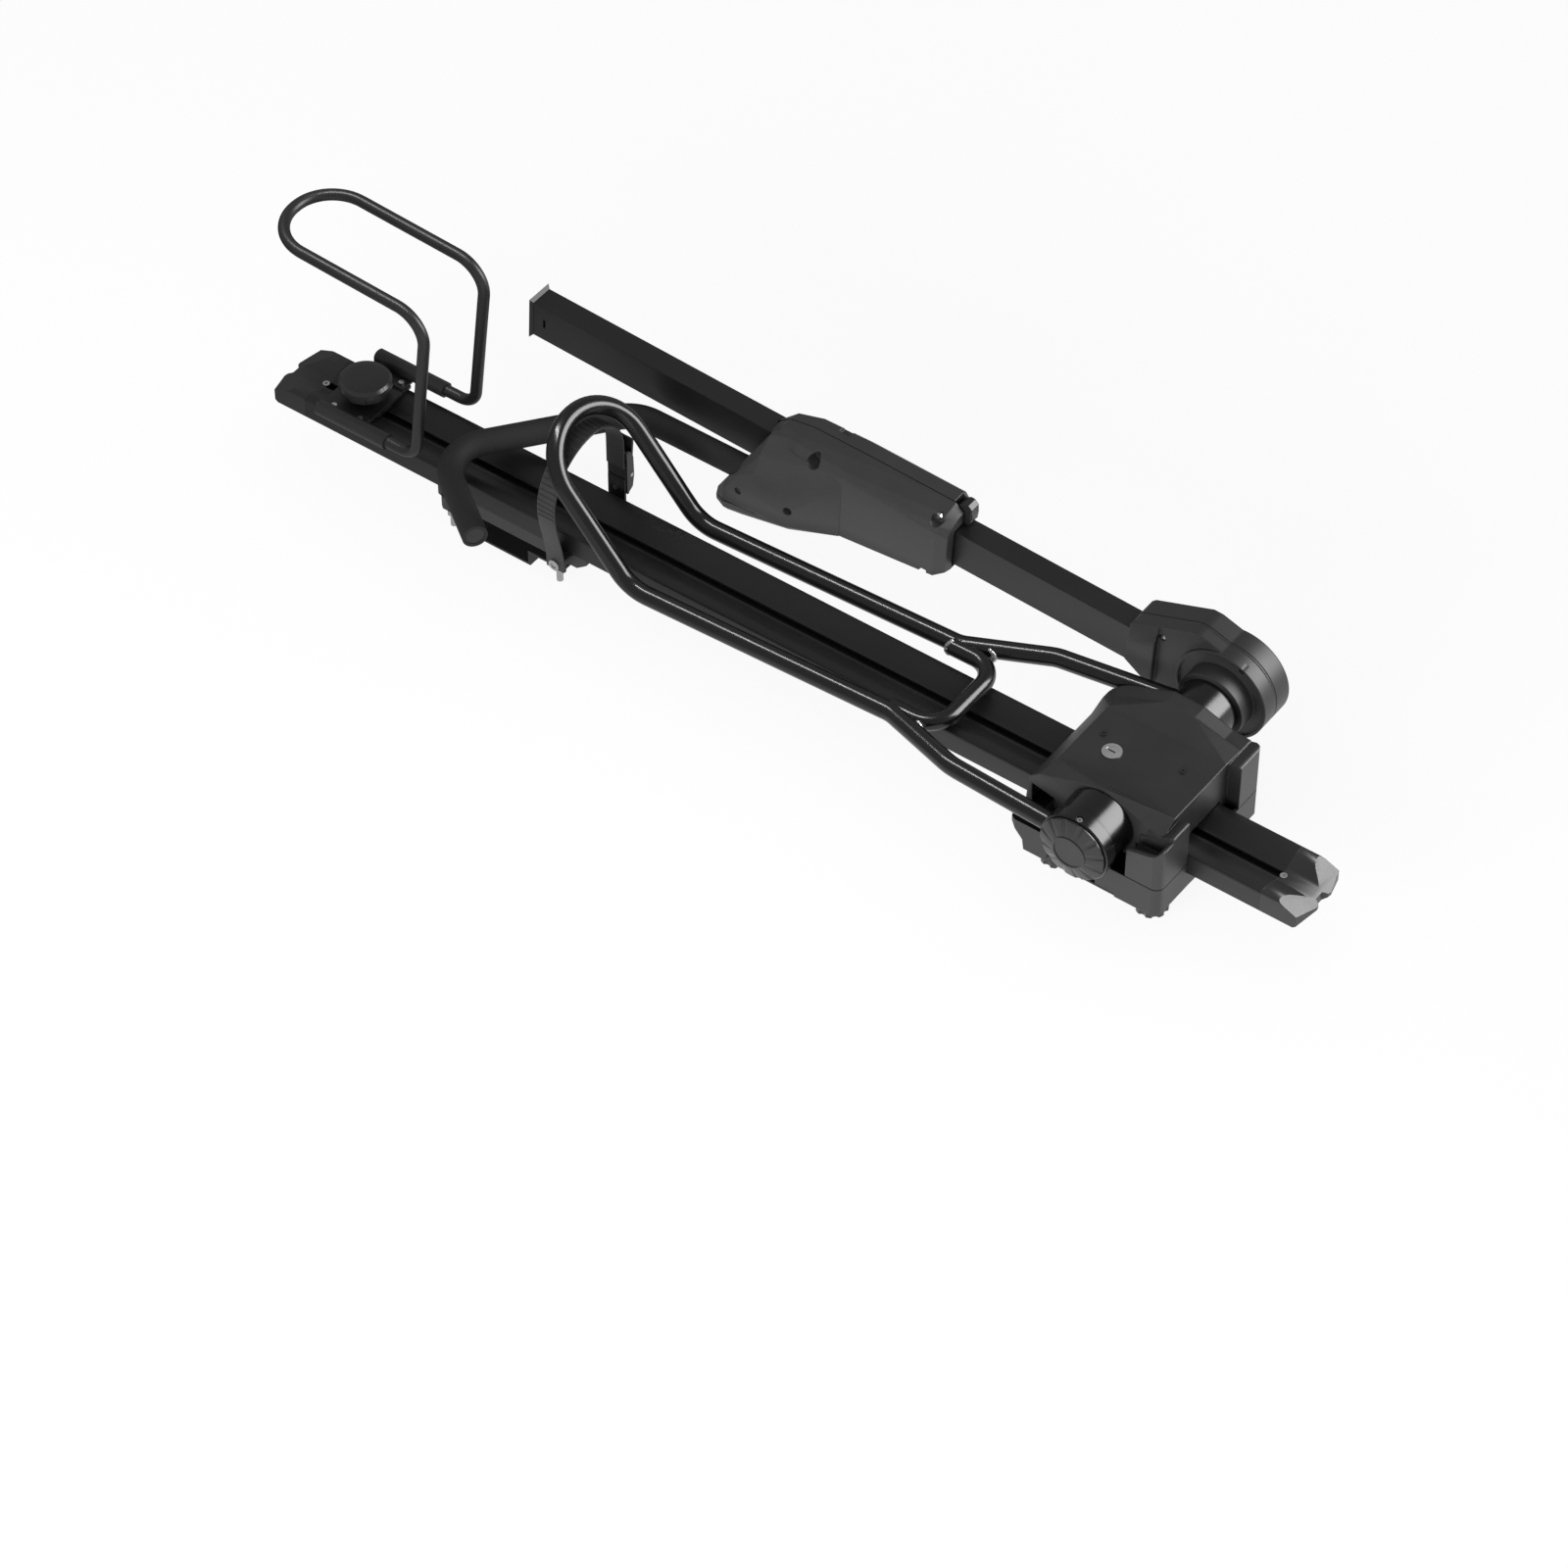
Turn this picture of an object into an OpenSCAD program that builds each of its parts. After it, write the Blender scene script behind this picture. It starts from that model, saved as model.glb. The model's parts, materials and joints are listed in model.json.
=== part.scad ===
// Roof mounted bike carrier, frame origin at the middle of the front crossbar seat.
// +X runs forward along the tray, +Y to the far side, +Z up. All sizes in millimetres.

/* [Wheel tray] */
// full length of the tray with both end caps
tray_length = 1421; // [1390:1:1450]
// width of the tray over its side walls
tray_width = 85; // [82:0.5:87]
// height of the side walls of the tray
tray_height = 28; // [27:0.5:30]
// wall of the tray section
tray_wall = 2.2; // [1.8:0.1:2.8]
// how far the front tip stands ahead of the pivot
front_reach = 240; // [230:1:262]
// length of each moulded end cap
cap_length = 55; // [48:1:60]
// width of the slot that runs down the middle of the tray
slot_width = 10; // [8:0.5:12]

/* [Crossbar seats] */
// distance between the front and the rear crossbar seat
seat_span = 840; // [832:1:848]
// height of the tray underside above the crossbars
seat_height = 22; // [20:0.5:24]
// width of the crossbars that the carrier clamps on
bar_width = 68; // [60:1:76]
// thickness of those crossbars
bar_height = 30; // [26:1:34]
// diameter of the clamp bolts
clamp_bolt = 8; // [6:0.5:8]

/* [Housing] */
// half width of the pivot housing over the tray
base_half = 98; // [96:0.5:99]
// height of the seam between the housing halves
base_seam = 38; // [34:0.5:40]
// wall of both housing halves
base_wall = 3; // [2.5:0.1:4]
// height of the pivot axis above the crossbar seat
pivot_height = 72.6; // [71.5:0.1:74]

/* [Wheel loop] */
// outer diameter of the loop tube
loop_tube = 22; // [20:0.5:23]
// wall of the loop tube
loop_wall = 1.8; // [1.2:0.1:2.5]
// half width between the two legs of the loop
loop_half = 65; // [63:0.5:66]
// angle at which the loop end rises from the legs
loop_rise = 48.6; // [46:0.2:50]
// length of the rising part of the loop up to its apex
loop_reach = 193; // [185:1:198]
// radius of the drum at the root of the near leg
drum_radius = 41; // [38:0.5:42]

/* [Arm] */
// distance from the pivot to the tip of the arm
arm_length = 958; // [940:1:975]
// thickness of the arm tube across the tray
arm_thick = 30; // [28:0.5:31]
// depth of the arm tube
arm_deep = 50; // [46:0.5:52]
// wall of the arm tube
arm_wall = 2; // [1.6:0.1:3]
// angle by which the folded arm rises to the rear
arm_rise = 2.9; // [2.6:0.05:3.1]
// how far the middle of the arm tube lies below the pivot
arm_drop = 7.7; // [6:0.1:9]
// near face of the arm tube from the middle of the tray
arm_near = 168; // [167:0.5:169]

/* [Wheel hook] */
// outer diameter of the rubber sleeve on the hook
hook_tube = 30; // [27:0.5:31]
// diameter of the steel core of the hook
hook_core = 22; // [20:0.5:23]
// height of the hook above the crossbar seat when folded
hook_height = 78; // [76:0.5:80]

/* [Rear hoop] */
// diameter of the rod of the rear hoop
hoop_rod = 14; // [12:0.5:14.5]
// half width between the legs of the hoop
hoop_half = 54; // [53:0.5:56]
// height of the hoop above the tray underside
hoop_height = 238; // [225:1:245]

/* [Wheel strap] */
// width of the wheel strap
strap_width = 25; // [22:0.5:26]
// thickness of the wheel strap
strap_thick = 3; // [2.4:0.1:3.4]
// height of the strap arch above the tray underside
strap_height = 150; // [144:1:152]
// distance of the strap behind the pivot
strap_place = 750; // [746:1:756]

/* [Hidden] */
$fn = 64;
tray_z = seat_height;
tray_top = tray_z + tray_height;
front_x = front_reach;
rear_x = front_reach - tray_length;
half_w = tray_width / 2;
loop_r = loop_tube / 2;
hook_r = hook_tube / 2;
rod_r = hoop_rod / 2;
rear_seat_x = -seat_span;
strap_x = -strap_place;
hoop_x = rear_x + 208;
shaft_r = 12;
fit = 0.05;
bend_step = 0.05;
far_drum_r = 36;
bolt_x = 62;
bolt_y = 58;
roof_z = 101;
far_y = base_half + 2;
near_wall_y = -70;
seam_y = arm_thick / 2;
arm_low = -arm_drop - arm_deep / 2;
arm_high = arm_deep / 2 - arm_drop;
arm_gap = 2.5;
hook_y = arm_near - 28;
groove_y = -105.5;
knob_y = -124.4;
knob_tip_y = -134.5;
far_drum_y0 = far_y + 2;
far_drum_y1 = arm_near - 30;

// which piece to draw, by its name, or all of them

// small helpers
function unit(v) = v / norm(v);

// a tube or a solid rod between two points
module rod(a, b, r, bore = 0) {
  d = b - a;
  translate(a)
    rotate([0, acos(d[2] / norm(d)), atan2(d[1], d[0])])
      difference() {
        cylinder(h = norm(d), r = r);
        if (bore > 0) translate([0, 0, -1]) cylinder(h = norm(d) + 2, r = bore);
      }
}

// part of a ring that turns a tube from direction u towards v; it reaches a little into
// the straight tubes at both ends and is a hair thinner, so the joint is a clean step
module elbow(corner, u, v, bend, r) {
  turn = acos(u * v);
  lap = 0.8 / bend * 180 / PI;
  side = unit(v - u * (u * v));
  start = corner - u * bend * tan(turn / 2);
  centre = start + side * bend;
  w = cross(-side, u);
  multmatrix([[-side[0], u[0], w[0], centre[0]],
              [-side[1], u[1], w[1], centre[1]],
              [-side[2], u[2], w[2], centre[2]],
              [0, 0, 0, 1]])
    rotate([0, 0, -lap])
      rotate_extrude(angle = turn + 2 * lap)
        translate([bend, 0]) circle(r = r - bend_step);
}

// a bent rod through a list of points, each inner point rounded by its own bend radius
module bent_rod(pts, bends, r) {
  last = len(pts) - 1;
  dirs = [for (i = [0 : last - 1]) unit(pts[i + 1] - pts[i])];
  cut = [for (i = [0 : last]) (i == 0 || i == last) ? 0
    : bends[i - 1] * tan(acos(dirs[i - 1] * dirs[i]) / 2)];
  for (i = [0 : last - 1])
    rod(pts[i] + dirs[i] * cut[i], pts[i + 1] - dirs[i] * cut[i + 1], r);
  for (i = [1 : last - 1])
    elbow(pts[i], dirs[i - 1], dirs[i], bends[i - 1], r);
}

// the same rod with a bore along it that runs out of both ends
module bent_tube(pts, bends, r, bore) {
  last = len(pts) - 1;
  inner = [for (i = [0 : last]) i == 0 ? pts[0] + unit(pts[0] - pts[1])
    : i == last ? pts[last] + unit(pts[last] - pts[last - 1]) : pts[i]];
  difference() {
    bent_rod(pts, bends, r);
    bent_rod(inner, bends, bore);
  }
}

// an outline in X and Z drawn out along Y between two faces
module slab_y(y0, y1) {
  translate([0, y1, 0]) rotate([90, 0, 0]) linear_extrude(y1 - y0) children();
}

// an outline in Y and Z drawn out along X between two faces
module slab_x(x0, x1) {
  translate([x0, 0, 0]) rotate([90, 0, 90]) linear_extrude(x1 - x0) children();
}

// a cylinder along Y between two faces
module pin_y(x, z, y0, y1, r) {
  translate([x, y0, z]) rotate([-90, 0, 0]) cylinder(h = y1 - y0, r = r);
}

// a cylinder along Z between two levels
module pin_z(x, y, z0, z1, r) {
  translate([x, y, z0]) cylinder(h = z1 - z0, r = r);
}

// a box given by its two corners
module block(a, b) {
  translate(a) cube(b - a);
}

// puts a child that is drawn along the folded arm into its place, with y = 0 on the near
// face of the arm tube
module on_arm() {
  translate([0, arm_near, pivot_height]) rotate([0, arm_rise, 0]) children();
}

// a screw along +Z with a domed socket head that sits at z = 0
module socket_screw(shank, long, head, high) {
  difference() {
    union() {
      cylinder(h = high, r = head);
      translate([0, 0, -long]) cylinder(h = long, r = shank);
    }
    translate([0, 0, high * 0.4]) cylinder(h = high, r = head * 0.5, $fn = 6);
  }
}

// Wheel tray section: two hollow side lobes and a slotted middle

// the closed outline of the tray, without its hollows
module tray_outline(slot = true) {
  valley = tray_height - 9;
  difference() {
    polygon([[-half_w, 0], [half_w, 0], [half_w, tray_height - 3], [half_w - 1, tray_height - 1],
      [half_w - 3, tray_height], [32, tray_height], [24, tray_height - 2.2], [12, valley + 1.5],
      [7, valley], [-7, valley], [-12, valley + 1.5], [-24, tray_height - 2.2],
      [-32, tray_height], [3 - half_w, tray_height], [1 - half_w, tray_height - 1],
      [-half_w, tray_height - 3]]);
    if (slot) {
      translate([-slot_width / 2, valley - 3]) square([slot_width, 4]);
      translate([-9, valley - 8]) square([18, 5.2]);
      translate([-slot_width / 2, -1]) square([slot_width, 4]);
      translate([-9, 2.8]) square([18, 5.7]);
    }
  }
}

// one hollow lobe, shrunk by a gap on every side
module lobe(gap = 0) {
  w = tray_wall + gap;
  polygon([[11 + w, w], [half_w - w, w], [half_w - w, tray_height - 3.5 - w],
    [half_w - 2.5 - w, tray_height - w], [32, tray_height - w], [24.5, tray_height - 2.6 - w],
    [12.6, tray_height - 8.1 - w], [11 + w, tray_height - 9.5 - w]]);
}

module tray() {
  color([0.13, 0.13, 0.14])
    translate([0, 0, tray_z])
      slab_x(rear_x + cap_length, front_x - cap_length)
        difference() {
          tray_outline();
          for (s = [0, 1]) mirror([s, 0]) lobe();
        }
}

// a moulded end cap, drawn for the front end and turned round for the rear
module end_cap(tip) {
  root = tip - cap_length;
  difference() {
    union() {
      intersection() {
        translate([0, 0, tray_z]) slab_x(root, tip) tray_outline(false);
        // bowed outline of the tip with a notch in its middle
        translate([0, 0, tray_z - 1])
          linear_extrude(tray_height + 2)
            polygon([[root, -half_w], [tip - 9, -half_w], [tip - 0.5, -14], [tip - 1.5, -9.5],
              [tip - 7, -6], [tip - 7, 6], [tip - 1.5, 9.5], [tip - 0.5, 14],
              [tip - 9, half_w], [root, half_w]]);
      }
      for (s = [0, 1]) mirror([0, s, 0])
        translate([0, 0, tray_z]) slab_x(root - 14, root + 1) lobe(0.3);
    }
    // slanted top of the tip, which cuts the two lobes
    slab_y(-half_w - 1, half_w + 1)
      polygon([[tip - 33, tray_top], [tip - 33, tray_top + 1], [tip + 1, tray_top + 1],
        [tip + 1, tray_top - 14.6]]);
    // slanted underside of the tip
    slab_y(-half_w - 1, half_w + 1)
      polygon([[tip - 14, tray_z - 1], [tip + 1, tray_z - 1], [tip + 1, tray_z + 11]]);
    // sunk screw hole at the end of the tray slot
    pin_z(root + 3, 0, tray_z + 6, tray_top, 2.2);
    pin_z(root + 3, 0, tray_top - 11, tray_top, 4.6);
  }
}

module front_end_cap() {
  color([0.16, 0.16, 0.17]) end_cap(front_x);
}

module rear_end_cap() {
  color([0.16, 0.16, 0.17])
    translate([rear_x + front_x, 0, 0])
      mirror([1, 0, 0]) end_cap(front_x);
}

module end_cap_screws() {
  color([0.75, 0.75, 0.76])
    for (x = [front_x - cap_length + 3, rear_x + cap_length - 3])
      translate([x, 0, tray_top - 11]) socket_screw(2.15, 9.5, 4.2, 2.6);
}

// Pivot housing

// plan of both halves, with a bay on the near side for the drum of the loop
module base_plan() {
  n = -base_half;
  polygon([[-92, n], [-50, n], [-50, n + 24], [8, n + 24], [8, n + 8], [13, n], [84, n],
    [89.5, n + 2], [93, n + 6], [94, n + 11], [94, -40], [97, 0], [94, 40], [94, far_y - 8],
    [91, far_y - 3], [85, far_y], [-90, far_y], [-98, far_y - 4], [-101, far_y - 12],
    [-101, 60], [-99, 0], [-101, -60], [-101, n + 10], [-98, n + 3]]);
}

module base_lower() {
  n = base_wall - base_half;
  color([0.15, 0.15, 0.16])
    difference() {
      intersection() {
        translate([0, 0, -2]) linear_extrude(base_seam + 2) base_plan();
        // rear end slanted underneath, room for the crossbar between two skirts
        slab_y(-base_half - 1, far_y + 1)
          polygon([[-102, base_seam], [-102, 35], [-82, 12], [-80, -2], [-38, -2], [-38, 3],
            [38, 3], [38, -2], [92, -2], [98, 6], [98, base_seam]]);
      }
      // channel for the tray, open at both ends
      block([-120, -half_w - 0.2, tray_z], [120, half_w + 0.2, 80]);
      // pockets inside the walls
      translate([0, 0, base_wall * 2 + 4])
        linear_extrude(60) {
          polygon([[-76, -46], [-76, n], [-53, n], [-53, n + 24], [11, n + 24], [11, n + 6],
            [15, n], [82, n], [90, n + 9], [90, -46]]);
          polygon([[-76, 46], [90, 46], [90, far_y - 10], [84, far_y - base_wall],
            [-76, far_y - base_wall]]);
        }
      // hollow for the drum of the loop
      pin_y(0, pivot_height, -base_half - 1, 2 + near_wall_y, drum_radius + 2.5);
      // holes for the clamp bolts
      for (x = [-1, 1], y = [-1, 1])
        pin_z(x * bolt_x, y * bolt_y, -5, 60, clamp_bolt / 2 + 0.3);
    }
}

// one slice of the cover, thin along Y
module cover_slice(y, pts) {
  slab_y(y - 0.5, y + 0.5) polygon(pts);
}

// the closed body of the cover, shrunk by a gap for its inner hollow
module cover_body(gap) {
  low = base_seam;
  x0 = gap - 98;
  x1 = 78 - gap;
  near = [[x0, low], [x0 + 4, 80 - gap], [-82, 91 - gap], [-20, 112 - gap], [-1, 117 - gap],
    [14, 111.5 - gap], [x1, 89 - gap], [x1, low]];
  mid = [[x0, low], [x0 + 3, 76 - gap], [-84, 90 - gap], [-73, roof_z - gap],
    [x1, roof_z - gap], [x1, low]];
  far = [[x0 - 2, low], [x0 - 2, 74 - gap], [-81, 88 - gap], [-21, 114 - gap],
    [17, 113 - gap], [55, 100 - gap], [x1, 98 - gap], [x1, low]];
  // slope from the near ridge down to the flat of the roof
  hull() {
    cover_slice(near_wall_y + 0.5 + gap, near);
    cover_slice(-48, mid);
  }
  slab_y(-48, 51) polygon(mid);
  // slope up to the plateau on the far side
  hull() {
    cover_slice(51, mid);
    cover_slice(80, far);
  }
  slab_y(80, far_y - gap) polygon(far);
}

// the two legs in front of the cover, either side of the tray
module cover_legs() {
  n = -base_half;
  // near leg with the trough between its outer wall and the ridge
  difference() {
    union() {
      slab_y(n - 1, n + 29.3)
        polygon([[50, base_seam - 1], [50, 79], [64, 82.5], [76, 85], [86, 89], [91, 95],
          [95.3, 94], [95.3, base_seam - 1]]);
      slab_y(n + 24.2, -43.6)
        polygon([[60, base_seam - 1], [60, 91], [76.5, 91], [89, 99.6], [92.3, 100.6], [95.3, 98],
          [95.3, base_seam - 1]]);
    }
    block([48, n + 5, 67], [86, n + 26, 130]);
    block([53, n + base_wall, base_seam - 2], [88, -46.6, 63]);
  }
  difference() {
    slab_y(56.4, far_y + 1)
      polygon([[72, base_seam - 1], [72, 94], [77, 96.4], [89, 100.2], [92, 99.7], [95.3, 97],
        [95.3, base_seam - 1]]);
    block([50, 59.4, base_seam - 2], [87, far_y - base_wall - 0.5, 93]);
  }
}

module base_cover() {
  color([0.14, 0.14, 0.15])
    difference() {
      intersection() {
        union() {
          difference() {
            cover_body(0);
            cover_body(base_wall);
          }
          cover_legs();
        }
        translate([0, 0, base_seam]) linear_extrude(120) base_plan();
      }
      // mouth for the tray at both ends
      block([-120, -half_w - 0.6, base_seam - 1], [120, half_w + 0.6, tray_top + 1.5]);
      // openings in the near wall on both sides of the drum
      slab_y(near_wall_y - 1, near_wall_y + 10) {
        polygon([[-90, 30], [-90, 72], [-50, 62], [-50, 30]]);
        polygon([[44, 30], [44, 62], [51, 62], [51, 30]]);
      }
      // bores for the bushes on the pivot axis
      pin_y(0, pivot_height, near_wall_y - 5, far_y + 1, shaft_r + 5);
      // lock and screw holes in the roof
      pin_z(-32, -5, 60, 140, 10);
      pin_z(-54, 12, 60, 140, 2.2);
      pin_z(46, 15, 60, 140, 2.2);
    }
}

module cover_screws() {
  color([0.5, 0.5, 0.52]) {
    for (p = [[-54, 12], [46, 15]])
      translate([p[0], p[1], roof_z]) socket_screw(2.1, 14, 3.6, 1.6);
  }
}

module seat_pad_front() {
  color([0.1, 0.1, 0.1])
    difference() {
      translate([0, 0, 0]) linear_extrude(3)
        square([bar_width, 136], center = true);
      for (y = [-52.5 : 15 : 52.5])
        block([-bar_width / 2 - 1, y - 1, -1], [bar_width / 2 + 1, y + 1, 1]);
    }
}

module pivot_bushes() {
  color([0.7, 0.7, 0.68])
    for (s = [0, 1])
      difference() {
        union() {
          if (s == 0) {
            pin_y(0, pivot_height, near_wall_y - 0.5, near_wall_y + 12, shaft_r + 5);
            pin_y(0, pivot_height, near_wall_y + base_wall + 0.5, near_wall_y + 10, shaft_r + 8);
          }
          if (s == 1) {
            pin_y(0, pivot_height, far_y - 10, far_y + 1.5, shaft_r + 5);
            pin_y(0, pivot_height, far_y - 8, far_y - base_wall, shaft_r + 8);
          }
        }
        pin_y(0, pivot_height, -90, 120, shaft_r);
      }
}

module pivot_shaft() {
  color([0.72, 0.72, 0.73])
    union() {
      pin_y(0, pivot_height, knob_y + 3, arm_near + 28, shaft_r);
      pin_y(0, pivot_height, knob_tip_y + 4.5, knob_y + 4, 5);
      pin_y(0, pivot_height, arm_near + 27, arm_near + 36, 6);
    }
}

module shaft_end_nut() {
  color([0.72, 0.72, 0.73])
    difference() {
      translate([0, arm_near + 28.1, pivot_height]) rotate([-90, 0, 0]) cylinder(h = 7, r = 11, $fn = 6);
      pin_y(0, pivot_height, arm_near + 20, arm_near + 40, 6);
    }
}

// Lock in the roof of the cover

module lock_barrel() {
  color([0.8, 0.8, 0.8])
    difference() {
      union() {
        pin_z(-32, -5, 82, roof_z + 1, 9.9);
        pin_z(-32, -5, roof_z, roof_z + 1.2, 11.4);
      }
      pin_z(-32, -5, 80, roof_z + 3, 7.3);
    }
}

module lock_plug() {
  color([0.85, 0.85, 0.85])
    difference() {
      union() {
        pin_z(-32, -5, 80, roof_z + 0.9, 7.25);
        translate([-36, -9, 76.5]) cube([22, 8, 3.5]);
      }
      translate([-32 - 4.5, -5 - 0.9, roof_z - 5]) cube([9, 1.8, 8]);
    }
}

// Crossbar clamps

// a hat shaped strip that passes under a crossbar and bolts up on both sides
module clamp_strip(x, half, reach, bolts, y_bolt) {
  span = bar_width / 2 + 2;
  low = -bar_height - 0.3;
  difference() {
    slab_y(-half, half)
      polygon([[x - reach, -11.5], [x - span, -11.5], [x - span, low], [x + span, low],
        [x + span, -11.5], [x + reach, -11.5], [x + reach, -14.5], [x + span + 3, -14.5],
        [x + span + 3, low - 3], [x - span - 3, low - 3], [x - span - 3, -14.5],
        [x - reach, -14.5]]);
    for (sx = [-1, 1], sy = [-1, 1])
      pin_z(x + sx * bolts, sy * y_bolt, -20, -5, clamp_bolt / 2 + 0.3);
  }
}

// bolts with a round head that sits at the given level
module clamp_bolt_set(x, bolts, y_bolt, head_z, end_z) {
  for (sx = [-1, 1], sy = [-1, 1]) {
    pin_z(x + sx * bolts, sy * y_bolt, end_z, head_z + 1, clamp_bolt / 2);
    pin_z(x + sx * bolts, sy * y_bolt, head_z, head_z + 5, clamp_bolt / 2 + 3);
  }
}

module hex_nut(x, y, z) {
  difference() {
    translate([x, y, z]) cylinder(h = 6.5, r = clamp_bolt * 0.9, $fn = 6);
    pin_z(x, y, z - 1, z + 8, clamp_bolt / 2 + fit);
  }
}

module front_clamp_bolts() {
  color([0.72, 0.72, 0.73]) clamp_bolt_set(0, bolt_x, bolt_y, 10.2, -46);
}

module front_clamp_nuts() {
  color([0.72, 0.72, 0.73])
    for (sx = [-1, 1]) hex_nut(sx * bolt_x, bolt_y, -21);
}

module front_jaw() {
  color([0.12, 0.12, 0.13]) clamp_strip(0, 72, 76, bolt_x, bolt_y);
}

// a hand knob with eight scoops, hung on a clamp bolt
module clamp_knob(x) {
  difference() {
    union() {
      pin_z(x, -bolt_y, -36, -18, 19);
      pin_z(x, -bolt_y, -18.5, -14.6, 11);
    }
    for (i = [0 : 7])
      translate([x + 21.5 * cos(45 * i), -bolt_y + 21.5 * sin(45 * i), -37])
        cylinder(h = 17, r = 5);
    pin_z(x, -bolt_y, -40, -10, clamp_bolt / 2 + fit);
  }
}

module front_knob_a() {
  color([0.1, 0.1, 0.1]) clamp_knob(bolt_x);
}

module front_knob_b() {
  color([0.1, 0.1, 0.1]) clamp_knob(-bolt_x);
}

module rear_foot() {
  color([0.13, 0.13, 0.14])
    difference() {
      union() {
        slab_y(-half_w + 1, half_w - 1)
          polygon([[rear_seat_x - 92, 8], [rear_seat_x - 80, 3], [rear_seat_x + 108, 3],
            [rear_seat_x + 122, 14], [rear_seat_x + 122, tray_z], [rear_seat_x - 92, tray_z]]);
        for (sx = [-1, 1], sy = [-1, 1])
          pin_z(rear_seat_x + sx * 77, sy * 34, -6, 12, 13);
      }
      // groove for the strap bracket
      block([strap_x - 12.7, -60, tray_z - 3.2], [strap_x + 12.7, 60, tray_z + 1]);
      for (sx = [-1, 1], sy = [-1, 1]) {
        pin_z(rear_seat_x + sx * 77, sy * 34, -10, 40, clamp_bolt / 2 + 0.1);
        pin_z(rear_seat_x + sx * 77, sy * 34, 13, 40, clamp_bolt / 2 + 3.2);
      }
      for (x = [-30, 30])
        pin_z(rear_seat_x + x, 0, 0, 40, 3.1);
    }
}

// screws that pull the foot up against slot nuts inside the tray
module foot_screws() {
  color([0.7, 0.7, 0.7])
    for (x = [-30, 30]) {
      pin_z(rear_seat_x + x, 0, 3.2, tray_z + 7, 3);
      translate([rear_seat_x + x - 8, -8, tray_z + 4]) cube([16, 16, 3.5]);
    }
}

module seat_pad_rear() {
  color([0.1, 0.1, 0.1])
    difference() {
      translate([rear_seat_x, 0, 0]) linear_extrude(3)
        square([bar_width, 2 * half_w - 6], center = true);
      for (y = [-22.5 : 15 : 22.5])
        block([rear_seat_x - bar_width, y - 1, -1], [rear_seat_x + bar_width, y + 1, 1]);
    }
}

module rear_clamp_bolts() {
  color([0.72, 0.72, 0.73]) clamp_bolt_set(rear_seat_x, 77, 34, 13.5, -38);
}

module rear_clamp_nuts() {
  color([0.72, 0.72, 0.73])
    for (sx = [-1, 1], sy = [-1, 1]) hex_nut(rear_seat_x + sx * 77, sy * 34, -21);
}

module rear_jaw() {
  color([0.12, 0.12, 0.13]) clamp_strip(rear_seat_x, 40, 88, 77, 34);
}

// Wheel loop

// corner points of one leg, from the drum down to the rising end, on side s
loop_dir = [-cos(loop_rise), 0, sin(loop_rise)];
loop_root = [-637, 0, 45];
loop_top = loop_root + loop_dir * loop_reach;
function leg_corners(s, root_y) = [[-30, root_y, pivot_height],
  [-175, s * 102, pivot_height + 0.8], [-279, s * loop_half, 61.5],
  loop_root + [0, s * loop_half, 0], loop_top + [0, s * loop_half, 0]];

near_corners = leg_corners(-1, -108);
far_corners = leg_corners(1, far_drum_y1 - 12);
loop_corners = concat(near_corners, [for (i = [4 : -1 : 0]) far_corners[i]]);
loop_bends = [60, 45, 48, loop_half - 1, loop_half - 1, 48, 45, 60];
cross_corners = [[-284, 58, 61.5], [-223, 58, 62.5], [-223, -58, 62.5], [-284, -58, 61.5]];

module loop_frame() {
  color([0.12, 0.12, 0.13])
    difference() {
      union() {
        bent_rod(loop_corners, loop_bends, loop_r);
        // welded cross tube between the legs
        bent_rod(cross_corners, [32, 32], loop_r - 0.6);
      }
      bent_rod(loop_corners, loop_bends, loop_r - loop_wall);
      // the legs end in the side of each drum
      pin_y(0, pivot_height, knob_y, groove_y, drum_radius + 2);
      pin_y(0, pivot_height, groove_y - 1, near_wall_y, drum_radius);
      pin_y(0, pivot_height, far_drum_y0, far_drum_y1 + 1, far_drum_r);
    }
}

module loop_drum_near() {
  y0 = near_wall_y - 1.5;
  y1 = knob_y + 0.6;
  color([0.1, 0.1, 0.11])
    difference() {
      // two rings with a narrow groove between them
      translate([0, 0, pivot_height]) rotate([90, 0, 0])
        rotate_extrude()
          polygon([[0, -y0], [drum_radius, -y0], [drum_radius, -groove_y],
            [drum_radius - 1, -groove_y], [drum_radius - 1, 0.8 - groove_y],
            [drum_radius + 1.5, 0.8 - groove_y], [drum_radius + 2, 1.5 - groove_y],
            [drum_radius + 2, -1.5 - y1], [drum_radius + 1, -y1], [0, -y1]]);
      pin_y(0, pivot_height, y1 + 2, y0 + 5, shaft_r + fit);
      pin_y(0, pivot_height, y1 - 1, y1 + 3, 5.5);
      // hollow of the drum, open towards the housing
      difference() {
        pin_y(0, pivot_height, y1 + 8, y0 + 1, drum_radius - 4);
        pin_y(0, pivot_height, y1 + 7, y0 + 2, shaft_r + 6);
      }
      at_set_screw() {
        translate([0, 0, 30]) cylinder(h = 16, r = 3.2);
        translate([0, 0, drum_radius]) cylinder(h = 4, r = 4.4);
      }
    }
}

module loop_drum_far() {
  color([0.1, 0.1, 0.11])
    difference() {
      pin_y(0, pivot_height, far_drum_y0, far_drum_y1, far_drum_r);
      pin_y(0, pivot_height, far_drum_y0 - 5, far_drum_y1 + 2, shaft_r + fit);
      difference() {
        pin_y(0, pivot_height, far_drum_y0 + 4, far_drum_y1 + 1, far_drum_r - 4);
        pin_y(0, pivot_height, far_drum_y0 + 3, far_drum_y1 + 2, shaft_r + 6);
      }
    }
}

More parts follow.
